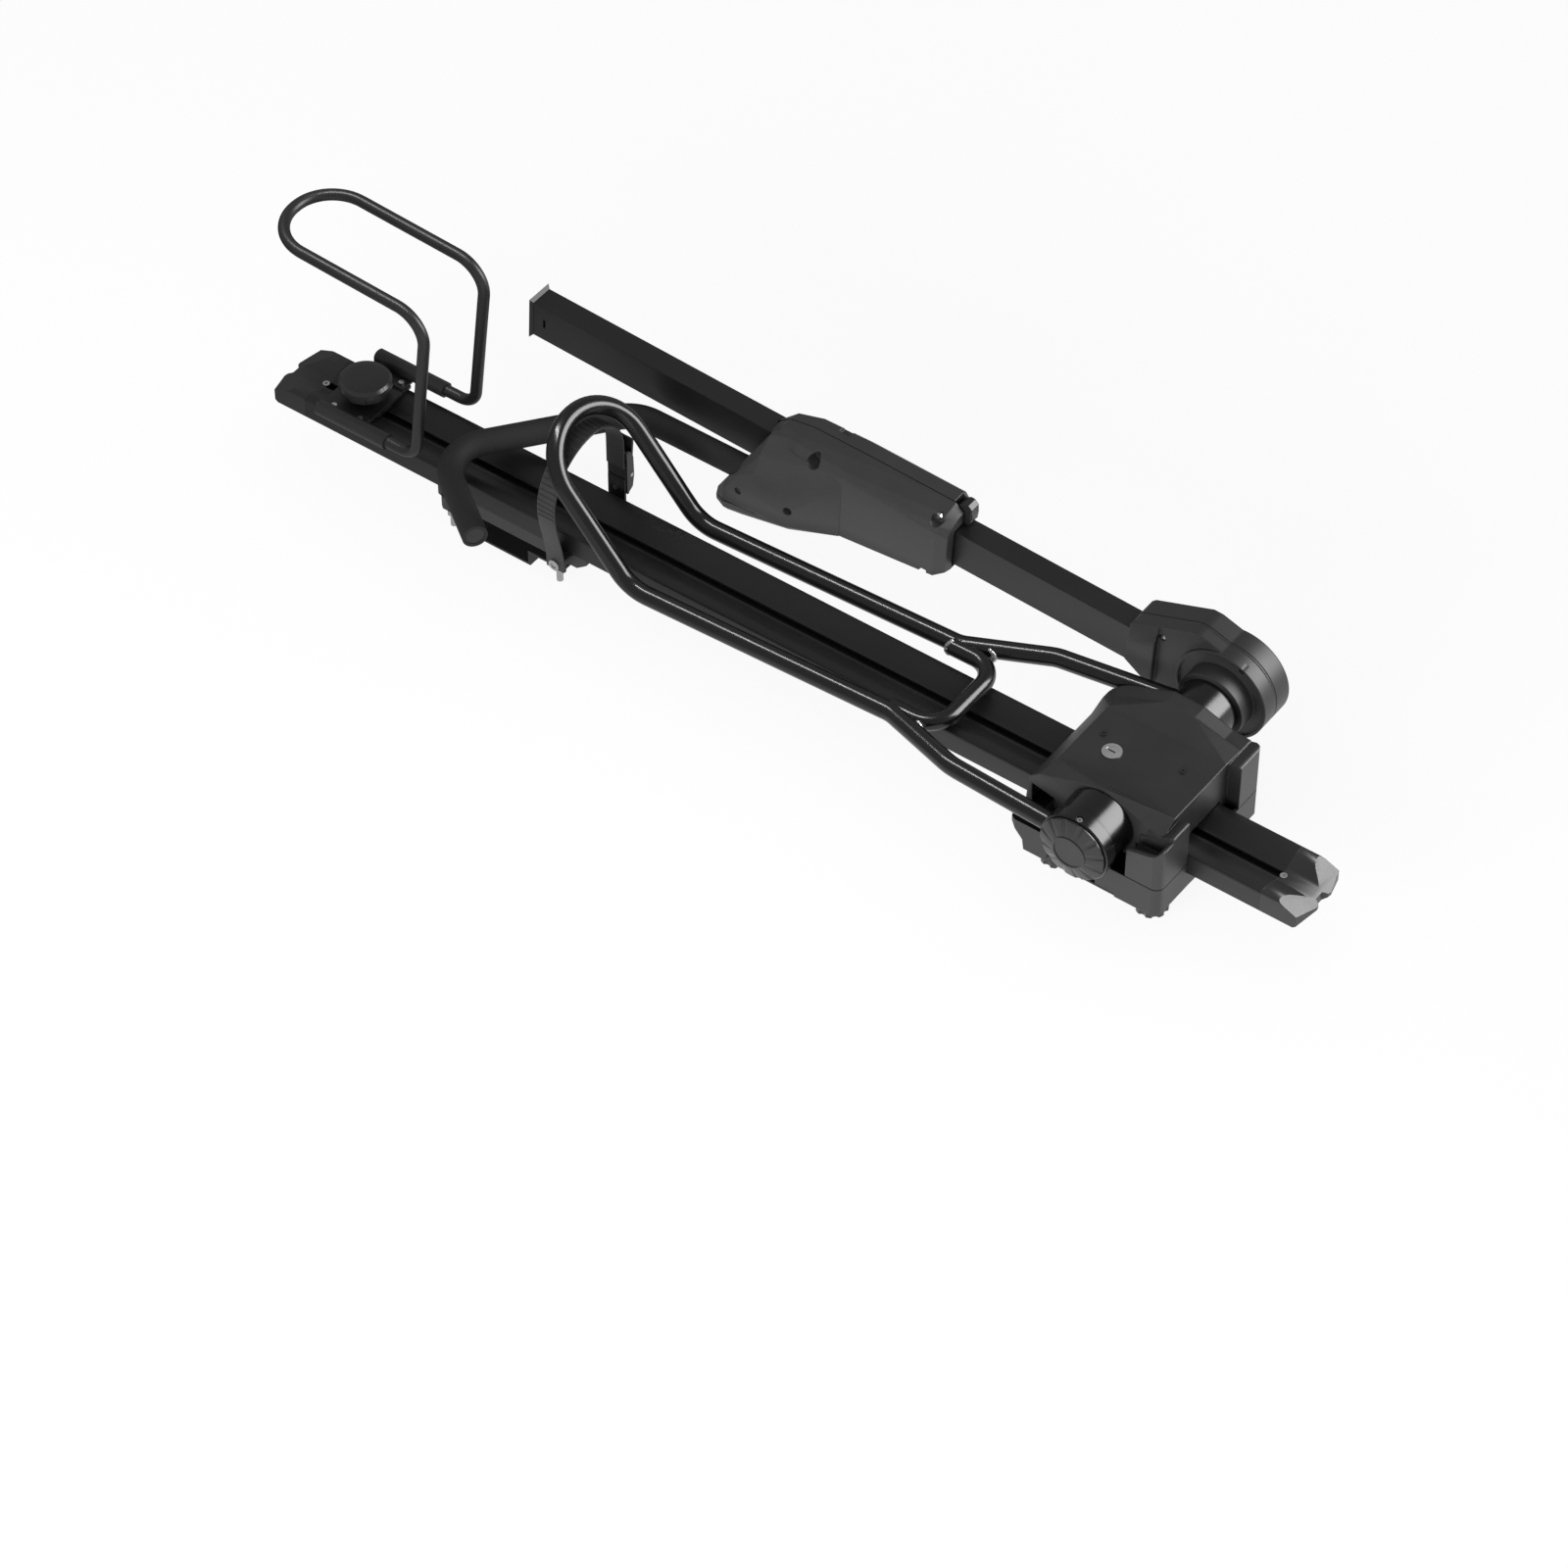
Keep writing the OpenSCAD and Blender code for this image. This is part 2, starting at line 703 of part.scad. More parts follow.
// puts the set screw or its hole in the front ring of the drum
module at_set_screw() {
  translate([0, knob_y + 4.6, pivot_height]) rotate([0, 5, 0]) children();
}

module drum_screw() {
  color([0.75, 0.75, 0.76])
    at_set_screw()
      translate([0, 0, 34])
        difference() {
          cylinder(h = 7.8, r = 3.2);
          translate([0, 0, 5.4]) cylinder(h = 4, r = 1.8, $fn = 6);
        }
}

// pivot knob: a coned face with twelve radial scoops round a raised disc
module loop_knob() {
  color([0.1, 0.1, 0.11])
    difference() {
      translate([0, 0, pivot_height]) rotate([90, 0, 0])
        rotate_extrude()
          polygon([[0, -knob_y], [40, -knob_y], [40.5, 0.6 - knob_y], [40.5, 2.4 - knob_y],
            [39, 3.4 - knob_y], [24, -1.6 - knob_tip_y], [21.5, -1.4 - knob_tip_y],
            [21.5, -0.6 - knob_tip_y], [20.5, -knob_tip_y], [0, -knob_tip_y]]);
      for (i = [0 : 11])
        translate([0, knob_tip_y - 4.6, pivot_height])
          rotate([0, 30 * i + 15, 0])
            translate([24, 0, 0])
              rotate([0, 90, 22])
                cylinder(h = 30, r = 6.4);
      // raised rim of the disc
      pin_y(0, pivot_height, knob_tip_y - 1, knob_tip_y + 0.8, 18);
      pin_y(0, pivot_height, knob_tip_y + 4, knob_y + 5, 5 + fit);
    }
}

// Pivot housing of the arm

shell_r = 58.5;
root_edge = -87;
pivot_screw_places = [[-83, 32], [21, 49]];

// body of a shell between two faces: a round drum with a tapered root for the arm
module shell_body(y0, y1) {
  pin_y(0, 0, y0, y1, shell_r);
  slab_y(y0, y1)
    polygon([[-124, -24], [-124, 28], [-119, 33], [-46, 65], [-34, 65], [-8, shell_r - 0.6],
      [0, 0], [-30, -50], [-93, -42], [-116, -34]]);
}

module pivot_shell_near() {
  color([0.13, 0.13, 0.14])
    on_arm()
      difference() {
        union() {
          shell_body(-3, seam_y - 3);
          pin_y(0, 0, -8, 0, shell_r);
          // raised and chamfered face of the root
          hull() {
            slab_y(-3.2, -2.8)
              polygon([[-124, -24], [-124, 28], [-119, 33], [root_edge, 47], [root_edge, -43],
                [-93, -42], [-116, -34]]);
            slab_y(-11, -10.8)
              polygon([[-121, 7.6], [root_edge, 22], [root_edge, -37], [-93, -38],
                [-122, -20]]);
          }
          pin_y(0, 0, -29, -2, 42);
        }
        // shallow face round the boss
        difference() {
          pin_y(0, 0, -9, -5.5, 55);
          pin_y(0, 0, -10, -5, 42);
        }
        // pocket for the arm tube and the flange of its root
        block([-140, 0, arm_low], [-28, seam_y, arm_high]);
        pin_y(0, 0, 2, seam_y, 40);
        // hollow of the boss
        difference() {
          pin_y(0, 0, -25, 3, 38);
          pin_y(0, 0, -26, 4, shaft_r + 5);
        }
        pin_y(0, 0, -40, seam_y, shaft_r + fit);
        for (p = pivot_screw_places) {
          pin_y(p[0], p[1], -20, seam_y, 2.6);
          pin_y(p[0], p[1], -20, 2, 4.6);
        }
      }
}

module pivot_shell_far() {
  color([0.13, 0.13, 0.14])
    on_arm()
      difference() {
        shell_body(seam_y - 3, 40);
        block([-140, seam_y - 5, arm_low], [-28, arm_thick, arm_high]);
        pin_y(0, 0, seam_y - 5, 37, 40);
        for (p = pivot_screw_places)
          pin_y(p[0], p[1], seam_y - 5, 30, 2.2);
      }
}

module pivot_shell_screws() {
  color([0.6, 0.6, 0.6])
    on_arm()
      for (p = pivot_screw_places) {
        pin_y(p[0], p[1], 1, 28, 2.1);
        pin_y(p[0], p[1], -1.5, 2, 4.2);
      }
}

module arm_tube() {
  tip = -arm_length;
  color([0.13, 0.13, 0.14])
    on_arm()
      difference() {
        union() {
          block([tip + 4, 0, arm_low], [-37, arm_thick, arm_high]);
          // forged root that carries the bore for the shaft
          pin_y(0, 0, 4, 26, 36);
          block([-60, 4, -22], [0, 26, 16]);
        }
        block([tip, arm_wall, arm_low + arm_wall], [-70, arm_thick - arm_wall, arm_high - arm_wall]);
        pin_y(0, 0, -8, 32, shaft_r + fit);
        // small slot near the tip
        block([tip + 18, -1, arm_low + 19], [tip + 21, 4, arm_low + 31]);
      }
}

module arm_end_plug() {
  tip = -arm_length;
  wall = arm_wall + 0.1;
  color([0.12, 0.12, 0.13])
    on_arm()
      difference() {
        union() {
          hull() {
            block([tip + 3.9, 0, arm_low], [tip + 4, arm_thick, arm_high]);
            block([tip, -3, arm_low - 4], [tip + 0.1, arm_thick + 3, arm_high + 4]);
          }
          block([tip + 3, wall, arm_low + wall], [tip + 17, arm_thick - wall, arm_high - wall]);
        }
        block([tip - 1, 8, arm_low + 8], [tip + 6, arm_thick - 8, arm_high - 8]);
      }
}

// Clamp that slides on the arm and carries the hook

// one slice of a shell, thin along the arm
module shell_slice(x, pts) {
  slab_x(x - 0.5, x + 0.5) polygon(pts);
}

// the channel of the clamp and the pockets that both shells share
module clamp_hollow() {
  block([-700, -arm_gap, arm_low - 3], [-300, arm_thick + arm_gap, arm_high + 3]);
  // notch of the release button, room of its pawl and slot of its spring
  block([-373.5, seam_y + 0.2, 18.6], [-340, 31, 60]);
  block([-388, 17, 23], [-370, 29, 31]);
  block([-384.1, 17.9, 20.4], [-360, 28.1, 21.5]);
}

// places of the screws in X and Z, and the depth at which each head is seated
clamp_screw_places = [[-540, 33, -7], [-377.5, 38.5, -8], [-557, -38.5, -30]];

module clamp_shell_near() {
  color([0.15, 0.15, 0.15])
    difference() {
      on_arm()
        difference() {
          union() {
            // wall beside the arm
            hull() {
              shell_slice(-360.5, [[-16, -34], [-16, 20], [-10, 28], [2, 35], [seam_y, 37],
                [seam_y, -37], [-4, -38]]);
              shell_slice(-372, [[-23, -40], [-23, 26], [-18, 33], [-4, 41], [seam_y, 46],
                [seam_y, -44], [-14, -43]]);
              shell_slice(-500, [[-23, -58], [-24, 34], [-18, 39], [-4, 43], [seam_y, 45],
                [seam_y, -50], [-10, -60]]);
              shell_slice(-566, [[-23, -62], [-23, 33], [-15, 40], [-6, 43], [seam_y, 43],
                [seam_y, -50], [-10, -62]]);
              shell_slice(-598, [[-12, -40], [-14, 26], [-8, 34], [2, 37], [seam_y, 36],
                [seam_y, -44]]);
              shell_slice(-612, [[-6, -36], [-6, 16], [0, 24], [seam_y, 25], [seam_y, -36]]);
            }
            // swelling towards the nose that holds the hook
            hull() {
              shell_slice(-500, [[-24, -58], [-24, 20], [-20, 34], [-10, 38], [0, 38],
                [0, -58]]);
              shell_slice(-560, [[-36, -75], [-44, -65], [-46, -45], [-42, -15], [-32, 12],
                [-18, 34], [-8, 42], [0, 42], [0, -66], [-20, -76]]);
              shell_slice(-604, [[-38, -84], [-46, -74], [-50, -60], [-50, -34], [-46, -8],
                [-36, 14], [-16, 32], [-8, 33], [0, 28], [0, -56], [-20, -84]]);
              shell_slice(-622, [[-40, -87], [-47, -77], [-50, -64], [-50, -40], [-46, -18],
                [-36, -6], [-14, 0], [-6, -6], [-6, -56], [-20, -86]]);
              shell_slice(-642, [[-40, -91], [-48, -81], [-51, -70], [-50, -50], [-46, -38],
                [-20, -40], [-14, -60], [-22, -86]]);
              shell_slice(-653, [[-40, -84], [-46, -76], [-47, -68], [-44, -58], [-26, -60],
                [-26, -80]]);
            }
          }
          clamp_hollow();
          // pocket that lightens the wall
          block([-550, -20, -36], [-390, -1, 24]);
          // shallow hexagonal recess in the nose
          translate([-622, -60, -42]) rotate([-90, 0, 0]) cylinder(h = 14, r = 5, $fn = 6);
          // notch in the lower edge
          block([-390, -30, -70], [-380, seam_y, -37.6]);
          for (i = [0 : 2]) {
            q = clamp_screw_places[i];
            pin_y(q[0], q[1], q[2] - 1, seam_y + 1, 2.6);
            pin_y(q[0], q[1], -60, q[2], i < 2 ? 8 : 5.2);
          }
        }
      // bore for the steel core and the mouth for the rubber sleeve
      rod([-560, hook_y, hook_height], [-680, hook_y, hook_height], hook_core / 2);
      rod([-606, hook_y, hook_height], [-700, hook_y, hook_height], hook_r + 0.3);
    }
}

module clamp_shell_far() {
  color([0.15, 0.15, 0.15])
    on_arm()
      difference() {
        hull() {
          shell_slice(-361, [[seam_y, -37], [seam_y, 37], [28, 37], [34, 33], [35, 26],
            [35, -34]]);
          shell_slice(-374, [[seam_y, -44], [seam_y, 46], [33, 47], [37, 44], [38, 38],
            [38, -40]]);
          shell_slice(-500, [[seam_y, -50], [seam_y, 45], [33, 46], [37, 43], [38, 37],
            [38, -44]]);
          shell_slice(-566, [[seam_y, -50], [seam_y, 43], [32, 43.5], [36, 40], [38, 34],
            [38, -44]]);
          shell_slice(-598, [[seam_y, -44], [seam_y, 36], [30, 34], [34, 30], [36, 24],
            [36, -40]]);
          shell_slice(-616, [[seam_y, -36], [seam_y, 23], [27, 16], [31, 10], [32, -30]]);
        }
        clamp_hollow();
        // step across the top
        block([-540, 26, 39.5], [-526, 40, 60]);
        for (q = clamp_screw_places)
          pin_y(q[0], q[1], seam_y - 1, 28, 2.2);
      }
}

module clamp_screws() {
  color([0.7, 0.7, 0.7])
    on_arm()
      for (q = clamp_screw_places)
        difference() {
          union() {
            pin_y(q[0], q[1], q[2] - 1, 26, 2.1);
            pin_y(q[0], q[1], q[2] - 2.8, q[2], 4.4);
          }
          translate([q[0], q[2] - 4, q[1]]) rotate([-90, 0, 0])
            cylinder(h = 3, r = 2.1, $fn = 6);
        }
}

// corner points of the hook, level when the arm is folded
hook_pts = [[-575, hook_y, hook_height], [-783, hook_y, hook_height], [-926.7, -42, hook_height],
  [-805.8, -128.9, hook_height]];
hook_bends = [50, 50];
hook_end = unit(hook_pts[3] - hook_pts[2]);

module hook_core_tube() {
  color([0.6, 0.6, 0.6])
    bent_tube([hook_pts[0], hook_pts[1], hook_pts[2], hook_pts[3] - hook_end * 8],
      hook_bends, hook_core / 2, hook_core / 2 - 2);
}

module hook_sleeve() {
  color([0.09, 0.09, 0.09])
    bent_tube([[-606.5, hook_y, hook_height], hook_pts[1], hook_pts[2], hook_pts[3]],
      hook_bends, hook_r, hook_core / 2 + 0.05);
}

module hook_end_plug() {
  color([0.12, 0.12, 0.12]) {
    tip = hook_pts[3];
    rod(tip - hook_end * 8, tip - hook_end * 0.8, hook_core / 2);
  }
}

// plastic frames that guide the clamp on the arm tube
module arm_guides() {
  color([0.2, 0.2, 0.2])
    on_arm()
      for (x = [-395, -600])
        difference() {
          block([x, -arm_gap, arm_low - 3], [x + 14, arm_thick + arm_gap, arm_high + 3]);
          block([x - 1, -0.06, arm_low - 0.06], [x + 15, arm_thick + 0.06, arm_high + 0.06]);
        }
}

module release_button() {
  color([0.1, 0.1, 0.1])
    on_arm()
      difference() {
        slab_y(seam_y + 1, 30)
          polygon([[-368, 22], [-368, 44], [-362, 49], [-356, 49], [-351, 44], [-350, 34],
            [-351, 24], [-354, 19.4], [-359, 19.4], [-360, 22]]);
        for (z = [26 : 3 : 41])
          block([-352, seam_y, z], [-349, 31, z + 1.2]);
      }
}

module clamp_pawl() {
  color([0.6, 0.6, 0.6])
    on_arm() block([-380, 19, 24], [-368, 27, 30]);
}

module button_spring() {
  color([0.6, 0.6, 0.6])
    on_arm() block([-384, 18, 20.6], [-366, 28, 21.4]);
}

// Rear hoop

hoop_low = tray_z + 42;
hoop_top = tray_z + hoop_height + 22;

hoop_lean = 48;
hoop_back = 231;
hoop_climb = 3.4;
hoop_high = [hoop_x + hoop_lean, 0, hoop_top];
hoop_far = hoop_high + [-cos(hoop_climb), 0, sin(hoop_climb)] * hoop_back;
function hoop_side(s) = [[hoop_x - 122, s * hoop_half, hoop_low],
  [hoop_x + 22, s * hoop_half, hoop_low], hoop_high + [0, s * hoop_half, 0],
  hoop_far + [0, s * hoop_half, 0]];
hoop_corners = concat(hoop_side(-1), [for (i = [3 : -1 : 0]) hoop_side(1)[i]]);

module wheel_hoop() {
  color([0.14, 0.14, 0.15])
    bent_rod(hoop_corners, [24, 38, hoop_half - 1, hoop_half - 1, 38, 24], rod_r);
}

module slide_plate() {
  color([0.12, 0.12, 0.13])
    difference() {
      union() {
        block([hoop_x - 131, -44, tray_top + 0.4], [hoop_x - 65, 44, tray_top + 5]);
        pin_z(hoop_x - 95, 0, tray_top - 3, tray_top + 6, 16);
        // tongue that keeps the plate straight in the valley of the tray
        translate([0, 0, tray_z])
          slab_x(hoop_x - 128, hoop_x - 68)
            polygon([[-20, tray_height + 1], [-11, tray_height - 6.6], [11, tray_height - 6.6],
              [20, tray_height + 1]]);
      }
      pin_z(hoop_x - 95, 0, tray_z, tray_top + 20, 4 + fit);
    }
}

// side saddles that hold the legs of the hoop
module hoop_saddles() {
  color([0.12, 0.12, 0.13])
    for (s = [-1, 1])
      difference() {
        union() {
          rod([hoop_x - 120, s * hoop_half, hoop_low], [hoop_x - 20, s * hoop_half, hoop_low],
            rod_r + 2.4);
          block([hoop_x - 120, s * hoop_half - 3, tray_top + 5],
            [hoop_x - 66, s * hoop_half + 3, hoop_low]);
          translate([hoop_x - 120, min(s * 30, s * hoop_half), tray_top + 5])
            cube([54, hoop_half - 30, 3]);
        }
        rod([hoop_x - 140, s * hoop_half, hoop_low], [hoop_x + 40, s * hoop_half, hoop_low],
          rod_r);
      }
}

module saddle_screws() {
  color([0.6, 0.6, 0.6])
    for (s = [-1, 1], x = [-112, -74])
      pin_z(hoop_x + x, s * 38, tray_top + 8, tray_top + 10, 3.4);
}

// stud of the hoop clamp with its square nut in the tray slot
module slide_stud() {
  color([0.7, 0.7, 0.7]) {
    pin_z(hoop_x - 95, 0, tray_top - 12.5, tray_top + 24, 4);
    translate([hoop_x - 95 - 8, -8, tray_top - 16.8]) cube([16, 16, 4.5]);
  }
}

// domed knob with six scoops
module hoop_knob() {
  color([0.1, 0.1, 0.1])
    translate([hoop_x - 95, 0, 0])
      difference() {
        union() {
          translate([0, 0, tray_top + 6.4])
            rotate_extrude()
              polygon([[0, 0], [18, 0], [22, 4], [31, 12], [32, 18], [31, 24], [28, 27.5],
                [22, 29.3], [12, 30.3], [0, 30.6]]);
        }
        for (i = [0 : 5])
          translate([36 * cos(60 * i + 20), 36 * sin(60 * i + 20), tray_top + 5])
            cylinder(h = 20, r = 9);
        pin_z(0, 0, tray_top, tray_top + 25, 4 + fit);
      }
}

// Wheel strap with its ratchet

strap_side = 57;
strap_top_r = strap_side;
strap_spring = tray_z + strap_height - strap_top_r;

// the ribbon of the strap in Y and Z
module strap_ribbon() {
  t = strap_thick / 2;
  difference() {
    translate([0, strap_spring]) circle(r = strap_top_r + t);
    translate([0, strap_spring]) circle(r = strap_top_r - t);
    translate([-100, strap_spring - 200]) square([200, 200]);
  }
  translate([-strap_side - t, 4]) square([2 * t, strap_spring - 4]);
  translate([strap_side - t, 78]) square([2 * t, strap_spring - 78]);
}

module wheel_strap() {
  color([0.08, 0.08, 0.08])
    difference() {
      slab_x(strap_x - strap_width / 2, strap_x + strap_width / 2) strap_ribbon();
      pin_y(strap_x, 12, -70, -50, 3.2);
    }
}

// steel strip under the tray that both ends of the strap hang on
module strap_bracket() {
  color([0.12, 0.12, 0.12])
    difference() {
      union() {
        block([strap_x - 12, -54, tray_z - 2.8], [strap_x + 12, 60, tray_z - 0.2]);
        block([strap_x - 12, -55.4, 3], [strap_x + 12, -52.8, tray_z - 0.2]);
        block([strap_x - 12, 57.2, tray_z - 2.8], [strap_x + 12, 60, 60]);
      }
      pin_y(strap_x, 12, -70, -40, 3.2);
      pin_y(strap_x, 46, 50, 70, 3.2);
    }
}

module strap_bolt() {
  color([0.75, 0.75, 0.76])
    difference() {
      union() {
        pin_y(strap_x, 12, -59, -48.5, 3.1);
        pin_y(strap_x, 12, -61, -58.6, 7);
        translate([strap_x, -49, 12]) rotate([-90, 0, 0]) translate([0, 0, -3.6])
          cylinder(h = 3.5, r = 5.5, $fn = 6);
      }
      pin_y(strap_x, 12, -62, -60, 4);
    }
}

// body of the ratchet that grips the free end of the strap
module ratchet_body() {
  color([0.09, 0.09, 0.09])
    difference() {
      union() {
        block([strap_x - 14, 60.2, 38], [strap_x + 14, 63, 100]);
        for (x = [strap_x - 14, strap_x + 11.4])
          slab_x(x, x + 2.6)
            polygon([[60.2, 38], [70, 44], [73, 60], [72, 88], [66, 100], [60.2, 100]]);
      }
      pin_y(strap_x, 46, 50, 70, 3.2);
      rod([strap_x - 20, 69, 62], [strap_x + 20, 69, 62], 2.6);
    }
}

module buckle_bolt() {
  color([0.6, 0.6, 0.6]) {
    pin_y(strap_x, 46, 54.6, 64, 3.1);
    pin_y(strap_x, 46, 63.2, 66, 5.6);
  }
}

module ratchet_pin() {
  color([0.7, 0.7, 0.7])
    rod([strap_x - 14, 69, 62], [strap_x + 14, 69, 62], 2.5);
}

module ratchet_lever() {
  color([0.1, 0.1, 0.1])
    difference() {
      union() {
        rod([strap_x - 10.5, 69, 62], [strap_x + 10.5, 69, 62], 5);
        slab_x(strap_x - 10.5, strap_x + 10.5)
          polygon([[72, 58], [75, 62], [76, 88], [78, 109], [75, 110], [73, 90], [71, 66],
            [68, 62]]);
      }
      rod([strap_x - 20, 69, 62], [strap_x + 20, 69, 62], 2.5 + fit);
    }
}

tray();
front_end_cap();
rear_end_cap();
end_cap_screws();
base_lower();
base_cover();
cover_screws();
seat_pad_front();
pivot_bushes();
pivot_shaft();
shaft_end_nut();
lock_barrel();
lock_plug();
front_clamp_bolts();
front_clamp_nuts();
front_jaw();
front_knob_a();
front_knob_b();
rear_foot();
foot_screws();
seat_pad_rear();
rear_clamp_bolts();
rear_clamp_nuts();
rear_jaw();
loop_frame();
loop_drum_near();
loop_drum_far();
drum_screw();
loop_knob();
pivot_shell_near();
pivot_shell_far();
pivot_shell_screws();
arm_tube();
arm_end_plug();
clamp_shell_near();
clamp_shell_far();
clamp_screws();
hook_core_tube();
hook_sleeve();
hook_end_plug();
arm_guides();
release_button();
button_spring();
clamp_pawl();
wheel_hoop();
slide_plate();
hoop_saddles();
saddle_screws();
slide_stud();
hoop_knob();
strap_bracket();
strap_bolt();
wheel_strap();
ratchet_body();
ratchet_lever();
ratchet_pin();
buckle_bolt();
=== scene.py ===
# %% [markdown]
# # A roof mounted bike carrier
# The carrier lies folded on its tray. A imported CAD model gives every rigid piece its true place
# and size, so this lesson adds what a drawing leaves out: the grain of moulded plastic, the
# gloss of powder coat, the ribs of the wheel strap and the light of a photographer's table.

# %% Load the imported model
import json
import math
import bpy
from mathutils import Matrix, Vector


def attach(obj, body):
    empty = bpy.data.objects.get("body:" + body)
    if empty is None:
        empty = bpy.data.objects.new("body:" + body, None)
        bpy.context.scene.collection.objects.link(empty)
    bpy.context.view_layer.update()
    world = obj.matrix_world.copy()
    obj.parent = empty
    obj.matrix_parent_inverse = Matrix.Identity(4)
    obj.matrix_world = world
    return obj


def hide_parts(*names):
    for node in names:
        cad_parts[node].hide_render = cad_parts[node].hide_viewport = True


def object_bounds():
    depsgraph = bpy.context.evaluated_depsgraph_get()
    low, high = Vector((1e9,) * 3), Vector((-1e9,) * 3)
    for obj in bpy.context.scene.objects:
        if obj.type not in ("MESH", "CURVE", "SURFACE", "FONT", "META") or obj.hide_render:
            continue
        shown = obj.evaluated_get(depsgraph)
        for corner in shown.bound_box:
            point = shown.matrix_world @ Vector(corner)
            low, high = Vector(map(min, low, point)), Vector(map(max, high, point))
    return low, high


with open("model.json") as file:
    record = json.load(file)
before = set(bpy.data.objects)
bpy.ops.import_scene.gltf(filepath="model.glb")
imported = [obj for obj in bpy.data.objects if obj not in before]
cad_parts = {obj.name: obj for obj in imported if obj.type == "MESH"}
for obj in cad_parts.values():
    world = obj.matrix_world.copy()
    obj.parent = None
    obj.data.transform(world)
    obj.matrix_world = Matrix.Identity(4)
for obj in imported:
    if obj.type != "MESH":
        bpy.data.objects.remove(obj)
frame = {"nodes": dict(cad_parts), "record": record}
nodes = frame["nodes"]
CAD_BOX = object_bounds()
MM = 0.001

# %% [markdown]
# ## Camera
# A product photograph is taken from far away with a long lens, so parallel edges stay almost
# parallel. The camera stands about six metres off, above the near front corner.

# %% Set the camera
CAMERA_PLACE = Vector((2243.2, -3705.6, 4562.8)) * MM
CAMERA_AZIMUTH = 36.23
CAMERA_ELEVATION = 46.18
CAMERA_LENS = 133.05

camera_data = bpy.data.cameras.new("photo_camera")
camera_data.lens = CAMERA_LENS
camera_data.sensor_width = 36
camera = bpy.data.objects.new("photo_camera", camera_data)
camera.location = CAMERA_PLACE
camera.rotation_euler = (math.radians(90 - CAMERA_ELEVATION), 0, math.radians(CAMERA_AZIMUTH))
bpy.context.scene.collection.objects.link(camera)
bpy.context.scene.camera = camera
bpy.context.scene.view_settings.view_transform = "Standard"
print("camera at", [round(c, 3) for c in CAMERA_PLACE])

# %% [markdown]
# ## Table and light
# Black products are lit by what they mirror. The side faces mirror the table, which to the
# reflections is a painted glow that fades towards the rear, the tops mirror a dim ceiling, a long
# strip overhead draws the thin bright lines along the tubes, and two panels at the right light the
# round ends and the slanted tips of the front cap. A low panel in front isn't mirrored and only
# fills the shade.

# %% Build the table
def feed(tree, slot, value):
    """Sets an input to a number, or links it to a socket."""
    if isinstance(value, (int, float)):
        slot.default_value = value
    else:
        tree.links.new(value, slot)


def maths(tree, operation, *values):
    """The result of one maths node; each value is a number or a socket."""
    node = tree.nodes.new("ShaderNodeMath")
    node.operation = operation
    for slot, value in zip(node.inputs, values):
        feed(tree, slot, value)
    return node.outputs[0]


def light_path(tree, *rays):
    """One when the ray is of any of the named kinds."""
    path = tree.nodes.new("ShaderNodeLightPath")
    total = path.outputs[rays[0]]
    for ray in rays[1:]:
        total = maths(tree, "MAXIMUM", total, path.outputs[ray])
    return total


def mixed(tree, factor, low, high):
    """A mix of two shaders; the factor is a number or a socket."""
    mix = tree.nodes.new("ShaderNodeMixShader")
    feed(tree, mix.inputs[0], factor)
    tree.links.new(low, mix.inputs[1])
    tree.links.new(high, mix.inputs[2])
    return mix.outputs[0]


def glow(tree, strength):
    """Plain white light of one strength; the strength is a number or a socket."""
    emission = tree.nodes.new("ShaderNodeEmission")
    feed(tree, emission.inputs["Strength"], strength)
    return emission.outputs[0]


FLOOR_GAP = 0.2 * MM
FLOOR_HALF = 14.0
floor_level = CAD_BOX[0].z - FLOOR_GAP
floor_mesh = bpy.data.meshes.new("table_top")
floor_mesh.from_pydata(
    [(-FLOOR_HALF, -FLOOR_HALF, floor_level), (FLOOR_HALF, -FLOOR_HALF, floor_level),
     (FLOOR_HALF, FLOOR_HALF, floor_level), (-FLOOR_HALF, FLOOR_HALF, floor_level)],
    [], [(0, 1, 2, 3)])
floor = bpy.data.objects.new("table_top", floor_mesh)
bpy.context.scene.collection.objects.link(floor)

TABLE_SHADOW = 0.22
TABLE_WHITE = 1.14
# painted reflection: how bright the table glows to reflections at the front and at the rear
MIRRORED_NEAR = 1.1
MIRRORED_FAR = 0.08
FADE_REAR = -1.6
FADE_FRONT = 0.2
table_material = bpy.data.materials.new("white_table")
table_material.use_nodes = True
table_tree = table_material.node_tree
table_surface = table_tree.nodes["Principled BSDF"]
table_surface.inputs["Base Color"].default_value = (0.9, 0.9, 0.9, 1)
table_surface.inputs["Roughness"].default_value = 0.75
table_surface.inputs["Specular IOR Level"].default_value = 0.1
to_camera = mixed(table_tree, TABLE_SHADOW, glow(table_tree, TABLE_WHITE),
                  table_surface.outputs["BSDF"])
# to reflections the table is a glow, a painted reflection that fades towards the rear of the
# carrier
table_place = table_tree.nodes.new("ShaderNodeSeparateXYZ")
table_tree.links.new(table_tree.nodes.new("ShaderNodeTexCoord").outputs["Object"],
                     table_place.inputs[0])
painted_reflection_fade = table_tree.nodes.new("ShaderNodeMapRange")
for label, value in (("From Min", FADE_REAR), ("From Max", FADE_FRONT),
                     ("To Min", MIRRORED_FAR), ("To Max", MIRRORED_NEAR)):
    painted_reflection_fade.inputs[label].default_value = value
table_tree.links.new(table_place.outputs["X"], painted_reflection_fade.inputs["Value"])
mirrored = glow(table_tree, painted_reflection_fade.outputs["Result"])
table_look = mixed(table_tree, light_path(table_tree, "Is Glossy Ray", "Is Transmission Ray"),
                   table_surface.outputs["BSDF"], mirrored)
table_look = mixed(table_tree, light_path(table_tree, "Is Camera Ray"), table_look, to_camera)
table_tree.links.new(table_look, table_tree.nodes["Material Output"].inputs["Surface"])
floor_mesh.materials.append(table_material)

